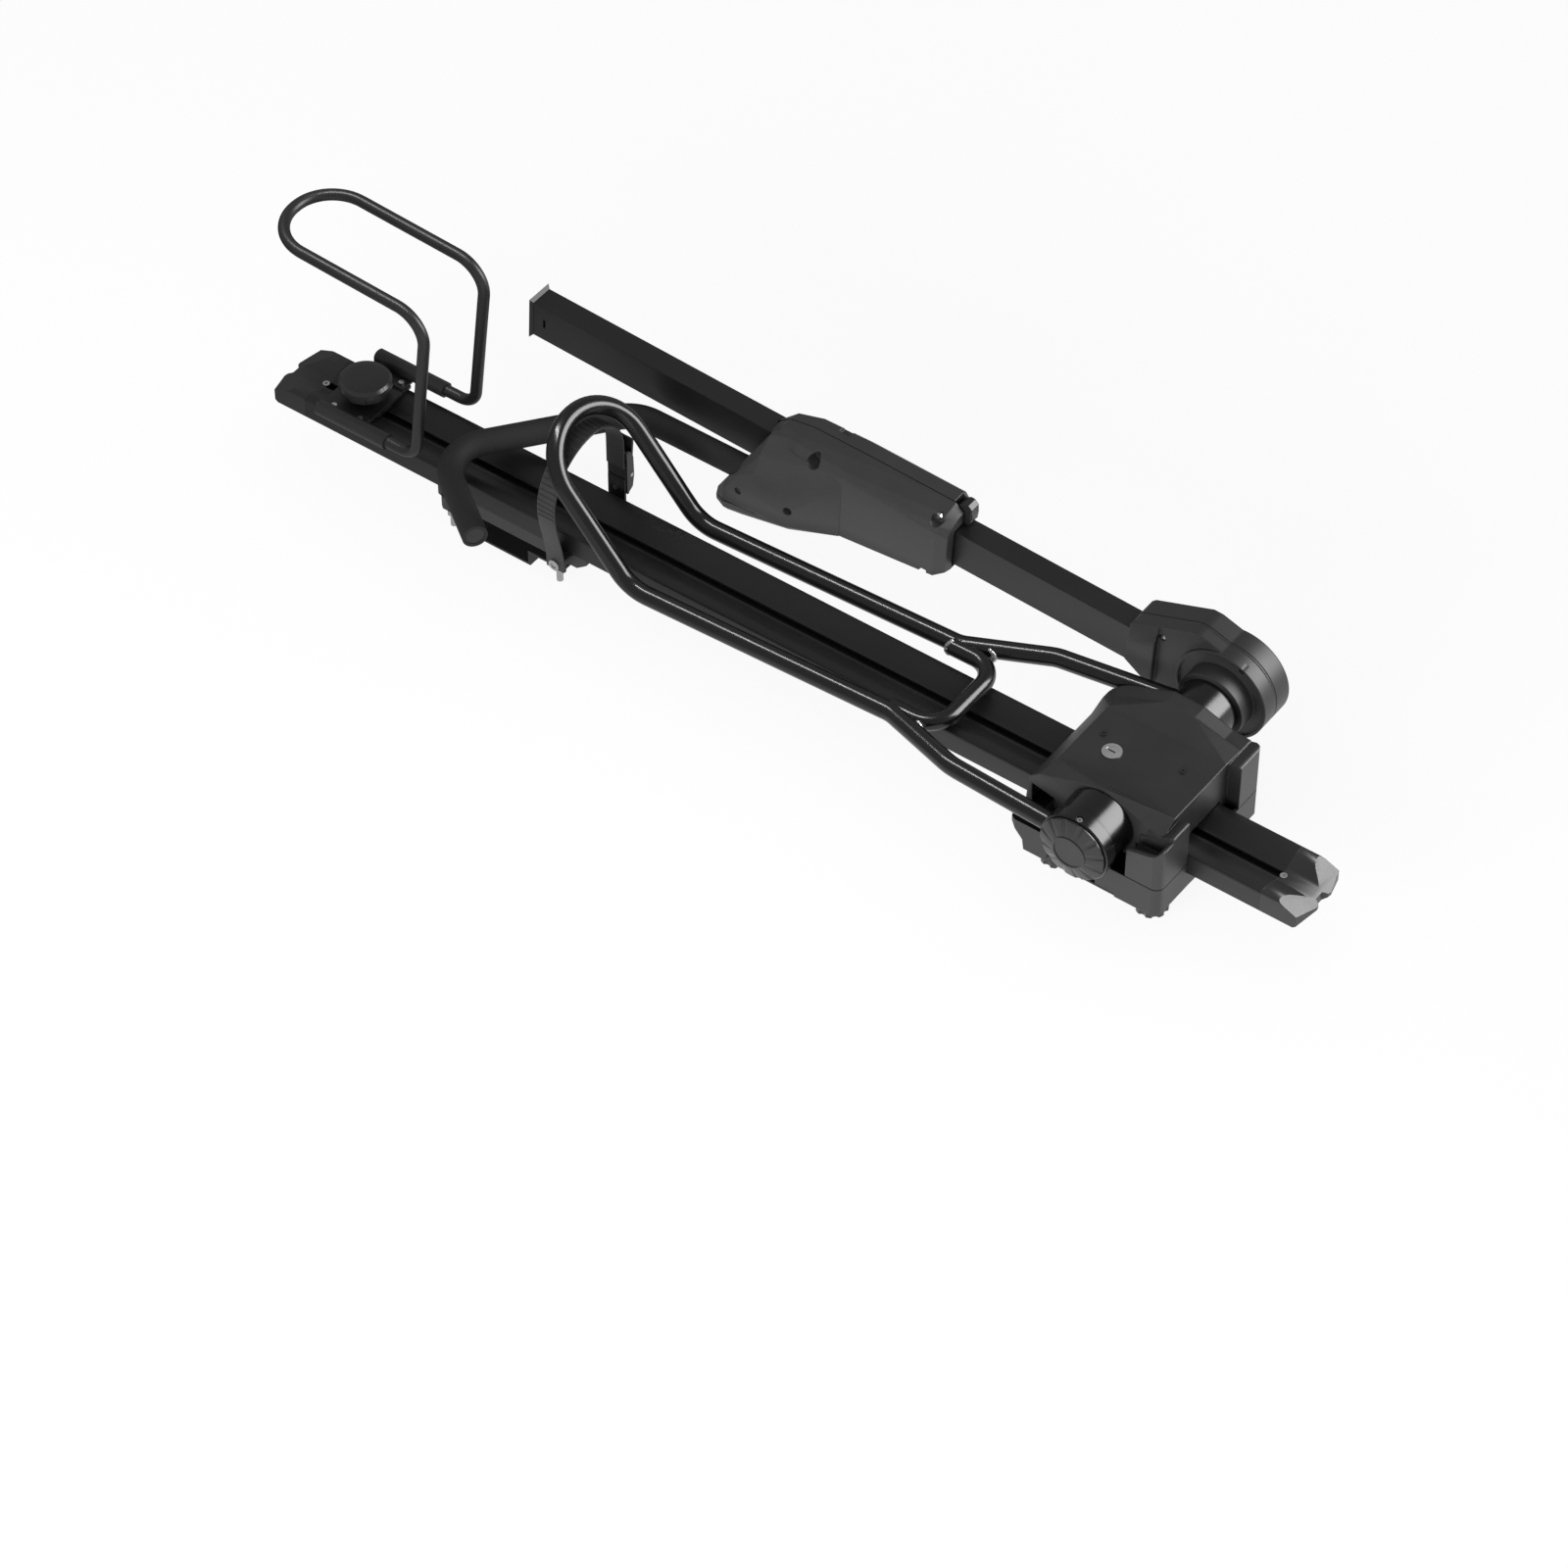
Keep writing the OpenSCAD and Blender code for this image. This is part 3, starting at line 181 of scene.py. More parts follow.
CEILING = 0.34
world = bpy.data.worlds.new("studio")
bpy.context.scene.world = world
world.use_nodes = True
world_tree = world.node_tree
ceiling = world_tree.nodes["Background"]
ceiling.inputs["Color"].default_value = (1, 1, 1, 1)
ceiling.inputs["Strength"].default_value = CEILING
seen = mixed(world_tree, light_path(world_tree, "Is Camera Ray"), ceiling.outputs[0],
             glow(world_tree, 1.0))
world_tree.links.new(seen, world_tree.nodes["World Output"].inputs["Surface"])


# %% Hang the light panels
def panel(name, place, aim, width, height, power, fills=False, reach=()):
    """A soft panel turned towards a point: it either fills the shade or is only mirrored.

    With a reach, flags in the studio keep it off all pieces but the named ones.
    """
    data = bpy.data.lights.new(name, "AREA")
    data.shape = "RECTANGLE"
    data.size = width
    data.size_y = height
    data.energy = power
    lamp = bpy.data.objects.new(name, data)
    lamp.location = place
    lamp.rotation_euler = (Vector(aim) - Vector(place)).to_track_quat("-Z", "Y").to_euler()
    lamp.visible_diffuse = fills
    lamp.visible_glossy = not fills
    bpy.context.scene.collection.objects.link(lamp)
    if reach:
        reached = bpy.data.collections.new(name + "_reach")
        for piece in reach:
            reached.objects.link(nodes[piece])
        lamp.light_linking.receiver_collection = reached


panel("overhead_strip", (-1.6, -0.05, 2.5), (-1.6, -0.05, 0.0), 2.3, 0.22, 52,
      reach=("loop_frame", "wheel_hoop"))
panel("right_panel", (1.9, 1.7, 1.6), (0.0, 0.0, 0.1), 1.7, 2.6, 140)
panel("tip_panel", (1.05, 1.74, 2.46), (0.27, 0.0, 0.07), 1.0, 1.0, 56, reach=("front_end_cap",))
panel("front_fill", (0.0, -3.2, 0.9), (-0.4, 0.0, 0.1), 3.2, 1.2, 90, fills=True)


# %% [markdown]
# ## Shared surface effects
# Moulded plastic has a fine spark-eroded grain, and powder coat has a faint orange peel. Both
# are a height pattern and a little change of roughness, so each is a node group that several
# materials place with their own values.

# %% Make the grain group
def shader_group(name, inputs, outputs):
    """A new shader node group with float inputs and outputs, and its input and output nodes."""
    group = bpy.data.node_groups.new(name, "ShaderNodeTree")
    for label, value in inputs:
        socket = group.interface.new_socket(label, in_out="INPUT", socket_type="NodeSocketFloat")
        socket.default_value = value
    for label in outputs:
        group.interface.new_socket(label, in_out="OUTPUT", socket_type="NodeSocketFloat")
    source = group.nodes.new("NodeGroupInput")
    sink = group.nodes.new("NodeGroupOutput")
    return group, source, sink


def noise(group, coordinates, scale_socket, detail, roughness=0.5):
    """A noise texture on object coordinates whose scale comes from a socket."""
    texture = group.nodes.new("ShaderNodeTexNoise")
    texture.inputs["Detail"].default_value = detail
    texture.inputs["Roughness"].default_value = roughness
    group.links.new(coordinates, texture.inputs["Vector"])
    group.links.new(scale_socket, texture.inputs["Scale"])
    return texture.outputs["Fac"]


NOISE_LOW, NOISE_HIGH = 0.3, 0.7


def scaled(group, socket, low, high):
    """Maps the range that a noise mostly keeps to onto low to high."""
    node = group.nodes.new("ShaderNodeMapRange")
    node.inputs["From Min"].default_value = NOISE_LOW
    node.inputs["From Max"].default_value = NOISE_HIGH
    group.links.new(socket, node.inputs["Value"])
    feed(group, node.inputs["To Min"], low)
    feed(group, node.inputs["To Max"], high)
    return node.outputs["Result"]


def make_grain():
    """Fine moulded grain: height, a patchy tone and a patchy gloss."""
    group, source, sink = shader_group(
        "moulded_grain",
        [("Grain Scale", 900.0), ("Patch Scale", 14.0), ("Smooth", 0.45), ("Rough", 0.6)],
        ["Height", "Tone", "Roughness"])
    coordinates = group.nodes.new("ShaderNodeTexCoord").outputs["Object"]
    pebbles = group.nodes.new("ShaderNodeTexVoronoi")
    pebbles.feature = "SMOOTH_F1"
    pebbles.inputs["Smoothness"].default_value = 0.6
    group.links.new(coordinates, pebbles.inputs["Vector"])
    group.links.new(source.outputs["Grain Scale"], pebbles.inputs["Scale"])
    fine = noise(group, coordinates, source.outputs["Grain Scale"], 3.0)
    height = maths(group, "ADD", pebbles.outputs["Distance"], fine)
    patches = noise(group, coordinates, source.outputs["Patch Scale"], 4.0)
    group.links.new(height, sink.inputs["Height"])
    group.links.new(scaled(group, patches, 0.0, 1.0), sink.inputs["Tone"])
    rough = scaled(group, patches, source.outputs["Smooth"], source.outputs["Rough"])
    group.links.new(rough, sink.inputs["Roughness"])
    return group


def make_seam():
    """One on the gap between two moulded halves, zero elsewhere."""
    group, source, sink = shader_group(
        "seam_line",
        [("Arm Seam Y", 183 * MM), ("Housing Seam Z", 38 * MM), ("Housing Half", 120 * MM),
         ("Half Width", 0.8 * MM)],
        ["Gap"])
    place = group.nodes.new("ShaderNodeSeparateXYZ")
    group.links.new(group.nodes.new("ShaderNodeTexCoord").outputs["Object"], place.inputs[0])
    width = source.outputs["Half Width"]
    on_arm = maths(group, "COMPARE", place.outputs["Y"], source.outputs["Arm Seam Y"], width)
    level = maths(group, "COMPARE", place.outputs["Z"], source.outputs["Housing Seam Z"], width)
    housing = maths(group, "COMPARE", place.outputs["Y"], 0.0, source.outputs["Housing Half"])
    gap = maths(group, "MAXIMUM", on_arm, maths(group, "MULTIPLY", level, housing))
    group.links.new(gap, sink.inputs["Gap"])
    return group


GRAIN = make_grain()
SEAM = make_seam()
print("shared groups:", [g.name for g in bpy.data.node_groups])


# %% [markdown]
# ## Materials
# All the dark finishes are nearly black, and the eye tells them apart by gloss and grain
# alone: grained housings, smooth knobs, dull rubber, satin anodised tray and shiny tubes.

# %% Material makers
def grey(value):
    """A neutral colour of one brightness."""
    return (value, value, value)


def base_material(name, dark, light, grain_scale, patch_scale, smooth, rough, bump, metallic=0.0,
                  edge=0.0):
    """A grained material between two tones with patchy gloss.

    With an edge, the piece is a moulded half: its edges are soft, its seam is dull, and the seam
    is painted dark as the shade in the gap between the halves.
    """
    material = bpy.data.materials.new(name)
    material.use_nodes = True
    tree = material.node_tree
    surface = tree.nodes["Principled BSDF"]
    surface.inputs["Metallic"].default_value = metallic
    grain = tree.nodes.new("ShaderNodeGroup")
    grain.node_tree = GRAIN
    for label, value in (("Grain Scale", grain_scale), ("Patch Scale", patch_scale),
                         ("Smooth", smooth), ("Rough", rough)):
        grain.inputs[label].default_value = value
    tone = tree.nodes.new("ShaderNodeMix")
    tone.data_type = "RGBA"
    tone.inputs["A"].default_value = (*dark, 1)
    tone.inputs["B"].default_value = (*light, 1)
    tree.links.new(grain.outputs["Tone"], tone.inputs["Factor"])
    tree.links.new(tone.outputs["Result"], surface.inputs["Base Color"])
    tree.links.new(grain.outputs["Roughness"], surface.inputs["Roughness"])
    relief = tree.nodes.new("ShaderNodeBump")
    relief.inputs["Strength"].default_value = 1.0
    relief.inputs["Distance"].default_value = bump
    tree.links.new(grain.outputs["Height"], relief.inputs["Height"])
    if edge:
        soft = tree.nodes.new("ShaderNodeBevel")
        soft.samples = 8
        soft.inputs["Radius"].default_value = edge
        tree.links.new(soft.outputs["Normal"], relief.inputs["Normal"])
        # the seam is painted near black as the shade in the gap between the halves, and made dull
        seam = tree.nodes.new("ShaderNodeGroup")
        seam.node_tree = SEAM
        painted_seam_shade = tree.nodes.new("ShaderNodeMix")
        painted_seam_shade.data_type = "RGBA"
        painted_seam_shade.inputs["B"].default_value = (*grey(0.001), 1)
        tree.links.new(tone.outputs["Result"], painted_seam_shade.inputs["A"])
        dull = maths(tree, "MAXIMUM", grain.outputs["Roughness"], seam.outputs["Gap"])
        tree.links.new(seam.outputs["Gap"], painted_seam_shade.inputs["Factor"])
        tree.links.new(painted_seam_shade.outputs["Result"], surface.inputs["Base Color"])
        tree.links.new(dull, surface.inputs["Roughness"])
    tree.links.new(relief.outputs["Normal"], surface.inputs["Normal"])
    return material


MATERIALS = {
    "anodised": base_material(
        "anodised_tray", grey(0.010), grey(0.013), 1500, 9, 0.34, 0.40, 1.5e-6),
    "cap_plastic": base_material(
        "moulded_cap", grey(0.018), grey(0.024), 900, 14, 0.36, 0.42, 7e-6),
    "housing_plastic": base_material(
        "grained_housing", grey(0.030), grey(0.037), 800, 16, 0.42, 0.5, 1.4e-5,
        edge=2.4 * MM),
    "clamp_plastic": base_material(
        "grained_clamp", grey(0.046), grey(0.054), 800, 16, 0.42, 0.5, 1.6e-5, edge=2.4 * MM),
    "knob_plastic": base_material(
        "smooth_knob", grey(0.020), grey(0.026), 1200, 20, 0.26, 0.32, 4e-6),
    "powder_coat": base_material(
        "glossy_powder_coat", grey(0.006), grey(0.008), 420, 10, 0.19, 0.23, 6e-7),
    "hoop_coat": base_material(
        "satin_powder_coat", grey(0.014), grey(0.018), 420, 10, 0.34, 0.4, 4e-6),
    "arm_coat": base_material(
        "satin_arm_coat", grey(0.010), grey(0.013), 600, 8, 0.32, 0.38, 3e-6),
    "zinc": base_material(
        "bright_zinc", grey(0.55), grey(0.66), 700, 60, 0.2, 0.3, 2e-6, 1.0),
    "lock_metal": base_material(
        "brushed_lock_face", grey(0.6), grey(0.7), 900, 60, 0.22, 0.3, 3e-6, 1.0),
    "dark_steel": base_material(
        "dull_black_steel", grey(0.016), grey(0.02), 700, 12, 0.45, 0.55, 5e-6),
    "rubber": base_material(
        "matt_rubber", grey(0.017), grey(0.023), 700, 22, 0.72, 0.85, 1.2e-5),
    "strap_plastic": base_material(
        "flexible_strap", grey(0.034), grey(0.044), 700, 20, 0.42, 0.5, 6e-6),
    "guide_plastic": base_material(
        "slide_plastic", grey(0.05), grey(0.06), 700, 20, 0.4, 0.5, 4e-6),
    "bronze": base_material(
        "sintered_bush", (0.35, 0.25, 0.12), (0.4, 0.3, 0.16), 900, 30, 0.4, 0.5, 4e-6, 1.0),
}
print(f"{len(MATERIALS)} finishes")

# %% [markdown]
# ## Lines left by drawing and extruding
# An extruded tray and a drawn tube carry faint straight lines along their length. They are a
# noise that is stretched a hundredfold along X.

# %% Add the drawn lines
def make_lines():
    """Straight faint lines along X, as a factor from 0 to 1."""
    group, source, sink = shader_group("drawn_lines", [("Line Scale", 60.0)], ["Lines"])
    mapping = group.nodes.new("ShaderNodeMapping")
    mapping.inputs["Scale"].default_value = (0.01, 1.0, 1.0)
    place = group.nodes.new("ShaderNodeTexCoord").outputs["Object"]
    group.links.new(place, mapping.inputs["Vector"])
    streaks = noise(group, mapping.outputs["Vector"], source.outputs["Line Scale"], 5.0, 0.7)
    group.links.new(scaled(group, streaks, 0.0, 1.0), sink.inputs["Lines"])
    return group


LINES = make_lines()


def add_lines(material, scale, gain):
    """Lets the drawn lines change the roughness of a grained material."""
    tree = material.node_tree
    surface = tree.nodes["Principled BSDF"]
    lines = tree.nodes.new("ShaderNodeGroup")
    lines.node_tree = LINES
    lines.inputs["Line Scale"].default_value = scale
    rough = maths(tree, "MULTIPLY_ADD", lines.outputs["Lines"], gain,
                  surface.inputs["Roughness"].links[0].from_socket)
    tree.links.new(rough, surface.inputs["Roughness"])


add_lines(MATERIALS["anodised"], 260.0, 0.10)
add_lines(MATERIALS["arm_coat"], 180.0, 0.05)

# %% [markdown]
# ## Soft edges
# No moulded or bent piece has a knife edge. The frame's pieces come as loose triangles, so each
# is welded, its flat faces are joined, its edges are rounded by about a millimetre, or by two
# to three on the facets of the housing and the clamp, and only what is still a real corner
# stays sharp in the shading. The bent round tubes are only welded and shaded as one surface.

# %% Build the edge trees
def geometry_tree(name, label="Geometry"):
    """A new geometry tree with one geometry input and output, and its two end nodes."""
    tree = bpy.data.node_groups.new(name, "GeometryNodeTree")
    tree.interface.new_socket(label, in_out="INPUT", socket_type="NodeSocketGeometry")
    tree.interface.new_socket("Geometry", in_out="OUTPUT", socket_type="NodeSocketGeometry")
    return tree, tree.nodes.new("NodeGroupInput"), tree.nodes.new("NodeGroupOutput")


def float_socket(tree, label, value):
    """Adds a named float input to a geometry tree."""
    socket = tree.interface.new_socket(label, in_out="INPUT", socket_type="NodeSocketFloat")
    socket.default_value = value


def make_weld_tree():
    """Joins loose triangles into one surface and drops their stored normals."""
    tree, source, sink = geometry_tree("weld_triangles")
    drop = tree.nodes.new("GeometryNodeRemoveAttribute")
    drop.inputs["Name"].default_value = "custom_normal"
    merge = tree.nodes.new("GeometryNodeMergeByDistance")
    merge.inputs["Distance"].default_value = 2e-6
    tree.links.new(source.outputs["Geometry"], drop.inputs["Geometry"])
    tree.links.new(drop.outputs["Geometry"], merge.inputs["Geometry"])
    tree.links.new(merge.outputs["Geometry"], sink.inputs["Geometry"])
    return tree


def make_shade_tree():
    """Shades smooth, but keeps an edge sharp where its faces meet steeply."""
    tree, source, sink = geometry_tree("shade_by_angle")
    float_socket(tree, "Limit", math.radians(28))
    faces = tree.nodes.new("GeometryNodeSetShadeSmooth")
    faces.domain = "FACE"
    edges = tree.nodes.new("GeometryNodeSetShadeSmooth")
    edges.domain = "EDGE"
    edges.inputs["Shade Smooth"].default_value = False
    angle = tree.nodes.new("GeometryNodeInputMeshEdgeAngle")
    steep = tree.nodes.new("FunctionNodeCompare")
    steep.operation = "GREATER_THAN"
    tree.links.new(source.outputs["Geometry"], faces.inputs["Geometry"])
    tree.links.new(faces.outputs["Geometry"], edges.inputs["Geometry"])
    tree.links.new(angle.outputs["Unsigned Angle"], steep.inputs["A"])
    tree.links.new(source.outputs["Limit"], steep.inputs["B"])
    tree.links.new(steep.outputs["Result"], edges.inputs["Selection"])
    tree.links.new(edges.outputs["Geometry"], sink.inputs["Geometry"])
    return tree


WELD_TREE = make_weld_tree()
SHADE_TREE = make_shade_tree()
FLAT_WITHIN = math.radians(0.4)
EDGE_LIMIT = math.radians(50)
TUBE_LIMIT = math.radians(40)


def shaded(tree, mesh):
    """Sends a mesh of a geometry tree through the shading group."""
    group = tree.nodes.new("GeometryNodeGroup")
    group.node_tree = SHADE_TREE
    tree.links.new(mesh, group.inputs["Geometry"])
    return group.outputs["Geometry"]


def add_tree(piece, name, tree, **values):
    """Puts a geometry tree on a piece as a modifier and sets its named inputs."""
    modifier = piece.modifiers.new(name, "NODES")
    modifier.node_group = tree
    for item in tree.interface.items_tree:
        if item.in_out == "INPUT" and item.name in values:
            modifier[item.identifier] = values[item.name]


def smooth(piece):
    """Shades the facets of a round CAD piece as one surface."""
    add_tree(piece, "weld", WELD_TREE)
    add_tree(piece, "shade", SHADE_TREE, Limit=TUBE_LIMIT)


def soften(piece, width, corner):
    """Rounds the edges of a CAD piece that are steeper than a corner angle in degrees."""
    add_tree(piece, "weld", WELD_TREE)
    flat = piece.modifiers.new("flat", "DECIMATE")
    flat.decimate_type = "DISSOLVE"
    flat.angle_limit = FLAT_WITHIN
    bevel = piece.modifiers.new("bevel", "BEVEL")
    bevel.width = width
    bevel.segments = 3
    bevel.limit_method = "ANGLE"
    bevel.angle_limit = math.radians(corner)
    add_tree(piece, "shade", SHADE_TREE, Limit=EDGE_LIMIT)
    # the wide faces keep their own direction, so that only the rounded edges shade softly
    even = piece.modifiers.new("even", "WEIGHTED_NORMAL")
    even.keep_sharp = True


EDGE_WIDTHS = {
    "arm_tube": 0.9, "arm_end_plug": 0.8, "pivot_shell_near": 1.4, "pivot_shell_far": 1.4,
    "front_end_cap": 0.9, "rear_end_cap": 0.9, "tray": 0.5, "loop_knob": 0.7,
    "loop_drum_near": 0.6, "loop_drum_far": 0.6, "hoop_knob": 0.8, "slide_plate": 0.8,
    "release_button": 0.4, "front_jaw": 0.5, "rear_jaw": 0.5, "strap_bracket": 0.4,
    "ratchet_body": 0.5, "ratchet_lever": 0.5, "rear_foot": 0.8, "front_knob_a": 0.8,
    "front_knob_b": 0.8, "seat_pad_front": 0.4, "seat_pad_rear": 0.4,
}
EDGE_CORNER = 30
# the housing and the clamp are made of wide flat facets that run softly into one another
FACET_WIDTHS = {
    "base_cover": 3.2, "base_lower": 2.2, "clamp_shell_near": 2.4, "clamp_shell_far": 2.4,
}
FACET_CORNER = 13
for widths, corner in ((EDGE_WIDTHS, EDGE_CORNER), (FACET_WIDTHS, FACET_CORNER)):
    for name, width in widths.items():
        soften(nodes[name], width * MM, corner)
for name in ("loop_frame", "wheel_hoop", "hook_sleeve"):
    smooth(nodes[name])
print(f"{len(EDGE_WIDTHS) + len(FACET_WIDTHS)} pieces have rounded edges")

# %% Paint the CAD pieces
SLOT_OF = {entry["node"]: entry["material_slot"] for entry in frame["record"]["subparts"]}
for name, piece in nodes.items():
    piece.data.materials.clear()
    piece.data.materials.append(MATERIALS[SLOT_OF[name]])

# %% [markdown]
# ## Wheel strap
# The strap is a flat moulded band with a ladder of teeth on its outside, so that the ratchet
# can grip it. The band and the teeth both come from one path: the tree sweeps a thin section
# along it and sets one rounded tooth at every pitch beyond a smooth start.

# %% Build the strap tree
TOOTH_ALONG = 0.27
TOOTH_ACROSS = 0.88


def make_strap_tree():
    """A band swept along a path in the plane of Y and Z, with teeth on its outside."""
    tree, source, sink = geometry_tree("ribbed_strap", "Path")
    float_socket(tree, "Width", 25 * MM)
    float_socket(tree, "Thickness", 2.4 * MM)
    float_socket(tree, "Tooth Pitch", 6.8 * MM)
    float_socket(tree, "Tooth Height", 1.2 * MM)
    float_socket(tree, "First Tooth", 0.27)
    tree.interface.new_socket("Material", in_out="INPUT", socket_type="NodeSocketMaterial")
    make, link = tree.nodes.new, tree.links.new

    # the band: a section with rounded corners, its thin side kept in the plane of Y and Z
    section = make("GeometryNodeCurvePrimitiveQuadrilateral")
    link(source.outputs["Thickness"], section.inputs["Width"])
    link(source.outputs["Width"], section.inputs["Height"])
    rounded = make("GeometryNodeFilletCurve")
    rounded.mode = "POLY"
    rounded.inputs["Count"].default_value = 3
    rounded.inputs["Radius"].default_value = 0.8 * MM
    link(section.outputs["Curve"], rounded.inputs["Curve"])
    even = make("GeometryNodeResampleCurve")
    even.mode = "LENGTH"
    even.inputs["Length"].default_value = 2.0 * MM
    link(source.outputs["Path"], even.inputs["Curve"])
    along = make("ShaderNodeSeparateXYZ")
    link(make("GeometryNodeInputTangent").outputs["Tangent"], along.inputs["Vector"])
    outward = make("ShaderNodeCombineXYZ")
    link(maths(tree, "MULTIPLY", along.outputs["Z"], -1.0), outward.inputs["Y"])
    link(along.outputs["Y"], outward.inputs["Z"])
    upright = make("GeometryNodeSetCurveNormal")
    upright.mode = "FREE"
    link(even.outputs["Curve"], upright.inputs["Curve"])
    link(outward.outputs["Vector"], upright.inputs["Normal"])
    band = make("GeometryNodeCurveToMesh")
    band.inputs["Fill Caps"].default_value = True
    link(upright.outputs["Curve"], band.inputs["Curve"])
    link(rounded.outputs["Curve"], band.inputs["Profile Curve"])

    # one tooth: a rounded bar across most of the strap, half sunk into it
    bar = make("GeometryNodeMeshCylinder")
    bar.inputs["Vertices"].default_value = 14
    bar.inputs["Radius"].default_value = 1.0
    bar.inputs["Depth"].default_value = 1.0
    shape = make("GeometryNodeTransform")
    shape.inputs["Rotation"].default_value = (0, math.pi / 2, 0)
    size = make("ShaderNodeCombineXYZ")
    link(source.outputs["Tooth Height"], size.inputs["X"])
    link(maths(tree, "MULTIPLY", source.outputs["Tooth Pitch"], TOOTH_ALONG), size.inputs["Y"])
    link(maths(tree, "MULTIPLY", source.outputs["Width"], TOOTH_ACROSS), size.inputs["Z"])
    link(bar.outputs["Mesh"], shape.inputs["Geometry"])
    link(size.outputs["Vector"], shape.inputs["Scale"])

    # one tooth at every pitch, turned so that its top looks away from the wheel
    toothed = make("GeometryNodeTrimCurve")
    link(source.outputs["Path"], toothed.inputs["Curve"])
    link(source.outputs["First Tooth"], toothed.inputs["Start"])
    spots = make("GeometryNodeCurveToPoints")
    spots.mode = "LENGTH"
    link(toothed.outputs["Curve"], spots.inputs["Curve"])
    link(source.outputs["Tooth Pitch"], spots.inputs["Length"])
    apart = make("ShaderNodeSeparateXYZ")
    link(spots.outputs["Tangent"], apart.inputs["Vector"])
    lean = maths(tree, "ARCTAN2", apart.outputs["Z"], apart.outputs["Y"])
    turn = make("ShaderNodeCombineXYZ")
    link(lean, turn.inputs["X"])
    out = make("ShaderNodeCombineXYZ")
    half = maths(tree, "MULTIPLY", source.outputs["Thickness"], 0.5)
    inward = maths(tree, "MULTIPLY", apart.outputs["Z"], half)
    link(maths(tree, "MULTIPLY", inward, -1.0), out.inputs["Y"])
    link(maths(tree, "MULTIPLY", apart.outputs["Y"], half), out.inputs["Z"])
    moved = make("GeometryNodeSetPosition")
    link(spots.outputs["Points"], moved.inputs["Geometry"])
    link(out.outputs["Vector"], moved.inputs["Offset"])
    teeth = make("GeometryNodeInstanceOnPoints")
    link(moved.outputs["Geometry"], teeth.inputs["Points"])
    link(shaded(tree, shape.outputs["Geometry"]), teeth.inputs["Instance"])
    link(turn.outputs["Vector"], teeth.inputs["Rotation"])

    both = make("GeometryNodeJoinGeometry")
    link(shaded(tree, band.outputs["Mesh"]), both.inputs["Geometry"])
    link(teeth.outputs["Instances"], both.inputs["Geometry"])
    real = make("GeometryNodeRealizeInstances")
    link(both.outputs["Geometry"], real.inputs["Geometry"])
    paint = make("GeometryNodeSetMaterial")
    link(real.outputs["Geometry"], paint.inputs["Geometry"])
    link(source.outputs["Material"], paint.inputs["Material"])
    link(paint.outputs["Geometry"], sink.inputs["Geometry"])
    return tree


STRAP_TREE = make_strap_tree()

# %% Sweep the strap
STRAP_X = -750 * MM
STRAP_BOLTED = 57 * MM
STRAP_BOWED = 70 * MM
STRAP_TOP = 172 * MM
NEAR_WIDEST = 102 * MM
FAR_WIDEST = 115 * MM
STRAP_NEAR_END = 4.5 * MM
STRAP_FAR_END = 79 * MM
STRAIGHT_FOOT = 14 * MM
BOW_STEPS = 16
ARCH_STEPS = 24

# up from the bolt, where the band bows out, and over the wheel to the ratchet
path_points = [(STRAP_X, -STRAP_BOLTED, STRAP_NEAR_END)]
for step in range(BOW_STEPS + 1):
    rise = step / BOW_STEPS
    bow = rise * rise * (3 - 2 * rise)
    path_points.append((STRAP_X, -STRAP_BOLTED - (STRAP_BOWED - STRAP_BOLTED) * bow,
                        STRAIGHT_FOOT + (NEAR_WIDEST - STRAIGHT_FOOT) * rise))
for widest, half, steps in ((NEAR_WIDEST, -STRAP_BOWED, range(1, ARCH_STEPS + 1)),
                            (FAR_WIDEST, STRAP_BOLTED, range(ARCH_STEPS - 1, -1, -1))):
    for step in steps:
        angle = math.pi / 2 * step / ARCH_STEPS
        path_points.append((STRAP_X, half * math.cos(angle),
                            widest + (STRAP_TOP - widest) * math.sin(angle)))
path_points.append((STRAP_X, STRAP_BOLTED, STRAP_FAR_END))


def path_object(name, points):
    """A poly curve object through some points."""
    curve = bpy.data.curves.new(name, "CURVE")
    curve.dimensions = "3D"
    spline = curve.splines.new("POLY")
    spline.points.add(len(points) - 1)
    for slot, point in zip(spline.points, points):
        slot.co = (*point, 1)
    holder = bpy.data.objects.new(name, curve)
    bpy.context.scene.collection.objects.link(holder)
    return holder


def grown(holder, tree, name, material):
    """Runs a geometry tree on an object and returns its result as a plain mesh object."""
    add_tree(holder, "tree", tree, Material=material)
    bpy.context.view_layer.update()
    graph = bpy.context.evaluated_depsgraph_get()
    mesh = bpy.data.meshes.new_from_object(holder.evaluated_get(graph))
    mesh.name = name
    bpy.data.objects.remove(holder)
    result = bpy.data.objects.new(name, mesh)
    bpy.context.scene.collection.objects.link(result)
    return result


strap = grown(path_object("strap_path", path_points), STRAP_TREE, "ribbed_wheel_strap",
              MATERIALS["strap_plastic"])
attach(strap, "carrier")
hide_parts("wheel_strap")
print("strap", len(strap.data.polygons), "faces")

# %% [markdown]
# ## Weld beads
# The cross tube of the wheel loop is welded to both legs where the tubes part. A bead is a row
# of small overlapping lumps, a little different in size and turned at random.

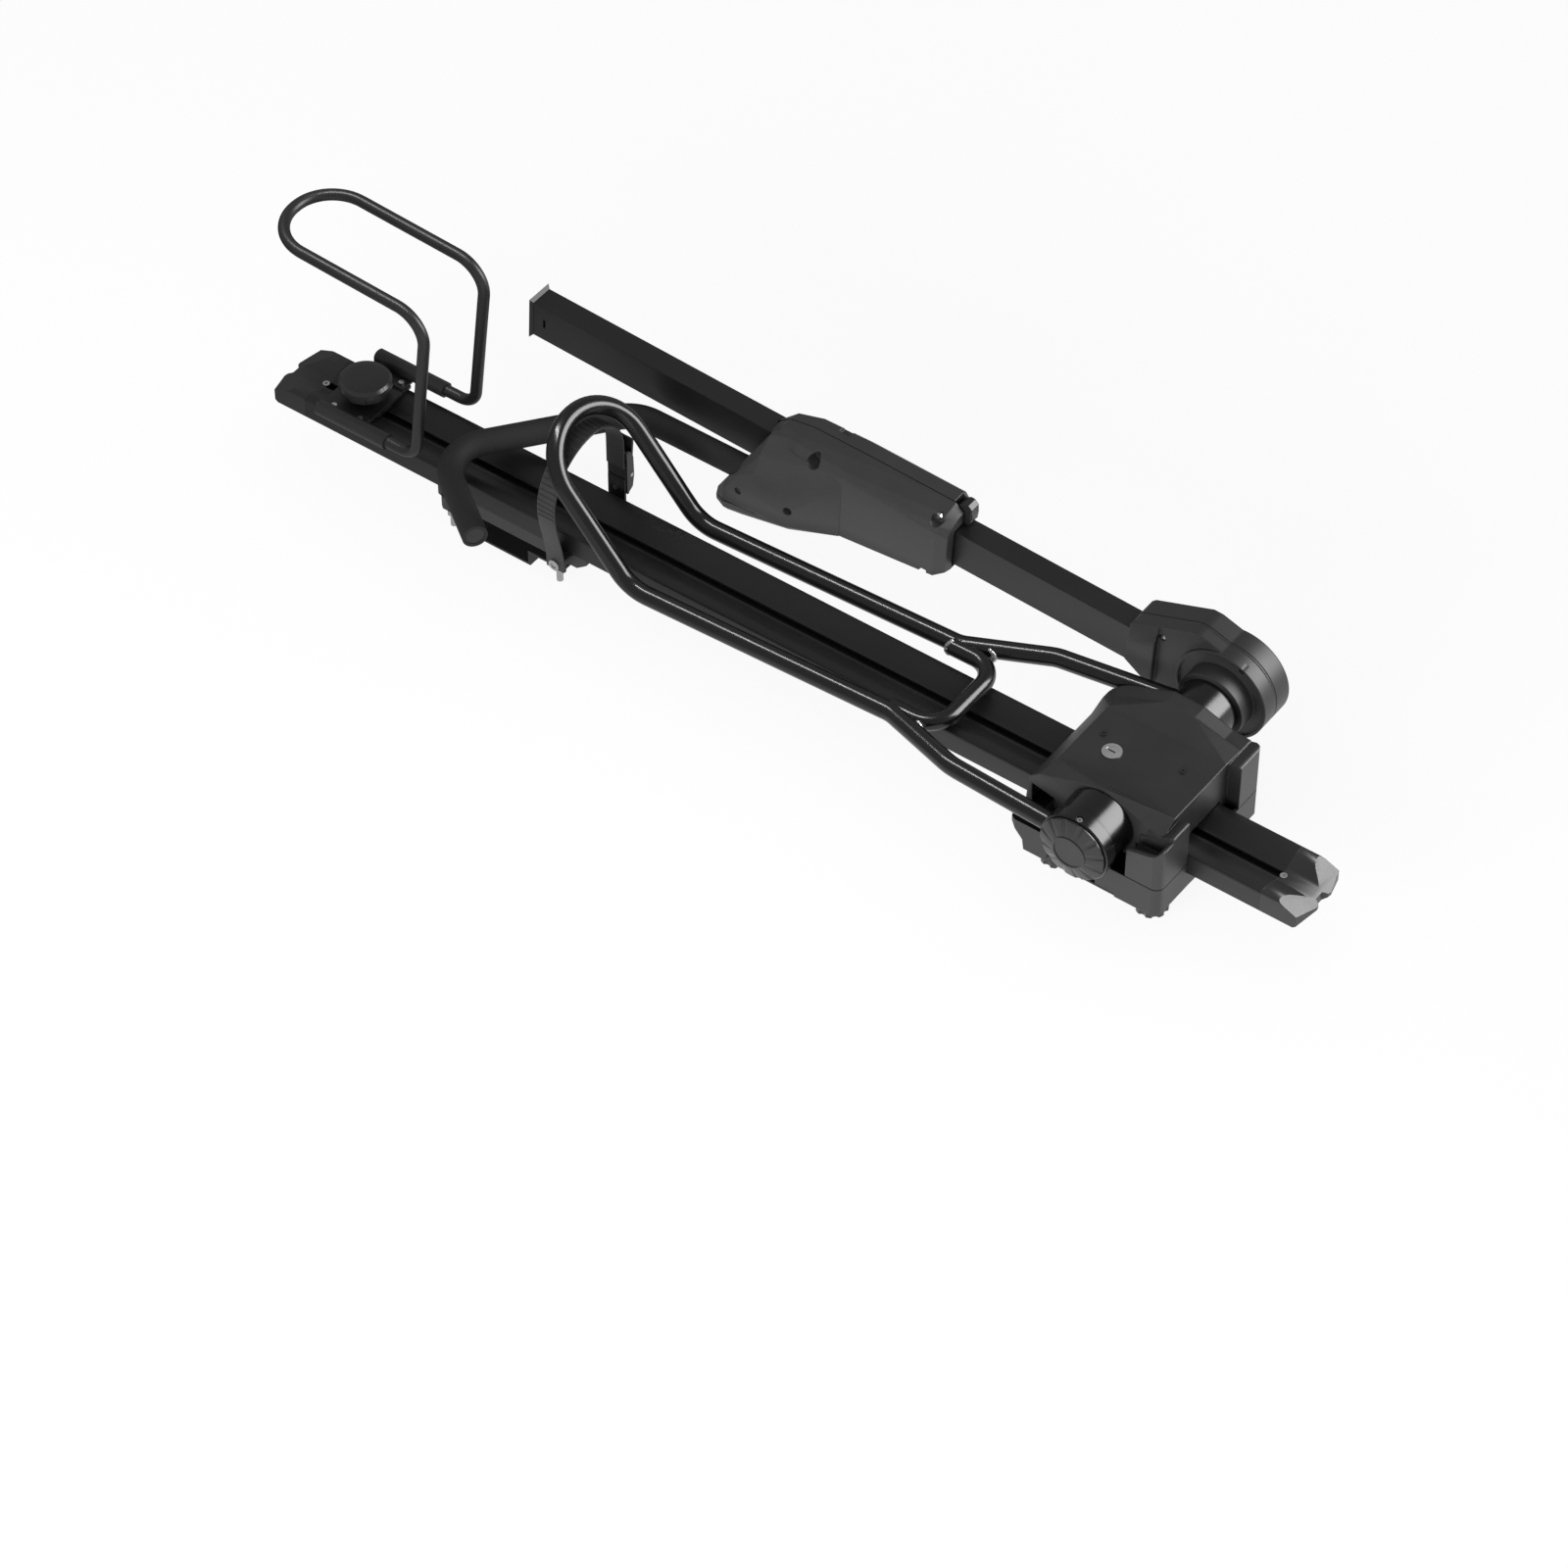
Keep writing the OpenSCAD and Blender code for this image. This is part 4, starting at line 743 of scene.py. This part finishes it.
# %% Build the bead tree
def make_bead_tree():
    """A row of uneven lumps along a path."""
    tree, source, sink = geometry_tree("weld_bead", "Path")
    float_socket(tree, "Lump Radius", 3.2 * MM)
    float_socket(tree, "Lump Pitch", 2.1 * MM)
    float_socket(tree, "Unevenness", 0.3)
    tree.interface.new_socket("Material", in_out="INPUT", socket_type="NodeSocketMaterial")
    make, link = tree.nodes.new, tree.links.new
    spots = make("GeometryNodeCurveToPoints")
    spots.mode = "LENGTH"
    link(source.outputs["Path"], spots.inputs["Curve"])
    link(source.outputs["Lump Pitch"], spots.inputs["Length"])
    lump = make("GeometryNodeMeshIcoSphere")
    lump.inputs["Subdivisions"].default_value = 3
    link(source.outputs["Lump Radius"], lump.inputs["Radius"])
    smallest = maths(tree, "SUBTRACT", 1.0, source.outputs["Unevenness"])
    size = make("FunctionNodeRandomValue")
    size.data_type = "FLOAT_VECTOR"
    link(smallest, size.inputs["Min"])
    size.inputs["Max"].default_value = (1.0, 1.0, 1.0)
    turn = make("FunctionNodeRandomValue")
    turn.data_type = "FLOAT_VECTOR"
    turn.inputs["Max"].default_value = (math.tau, math.tau, math.tau)
    lumps = make("GeometryNodeInstanceOnPoints")
    link(spots.outputs["Points"], lumps.inputs["Points"])
    link(shaded(tree, lump.outputs["Mesh"]), lumps.inputs["Instance"])
    link(turn.outputs["Value"], lumps.inputs["Rotation"])
    link(size.outputs["Value"], lumps.inputs["Scale"])
    real = make("GeometryNodeRealizeInstances")
    link(lumps.outputs["Instances"], real.inputs["Geometry"])
    paint = make("GeometryNodeSetMaterial")
    link(real.outputs["Geometry"], paint.inputs["Geometry"])
    link(source.outputs["Material"], paint.inputs["Material"])
    link(paint.outputs["Geometry"], sink.inputs["Geometry"])
    return tree


BEAD_TREE = make_bead_tree()
# each bead runs down the notch between a leg and the cross tube
BEAD_PATHS = {
    "weld_bead_far": [(-242, 68.5, 71.5), (-236, 69.5, 67), (-235, 69.8, 61), (-239, 69, 56)],
    "weld_bead_near": [(-242, -68.5, 71.5), (-236, -69.5, 67), (-235, -69.8, 61), (-239, -69, 56)],
    "weld_bead_rear": [(-284, 56, 71.5), (-287, 51.5, 67), (-287, 49.5, 61), (-285, 52, 55)],
}
for name, path in BEAD_PATHS.items():
    points = [tuple(c * MM for c in point) for point in path]
    bead = grown(path_object(name + "_path", points), BEAD_TREE, name, MATERIALS["zinc"])
    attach(bead, "wheel_loop")
print(f"{len(BEAD_PATHS)} weld beads")
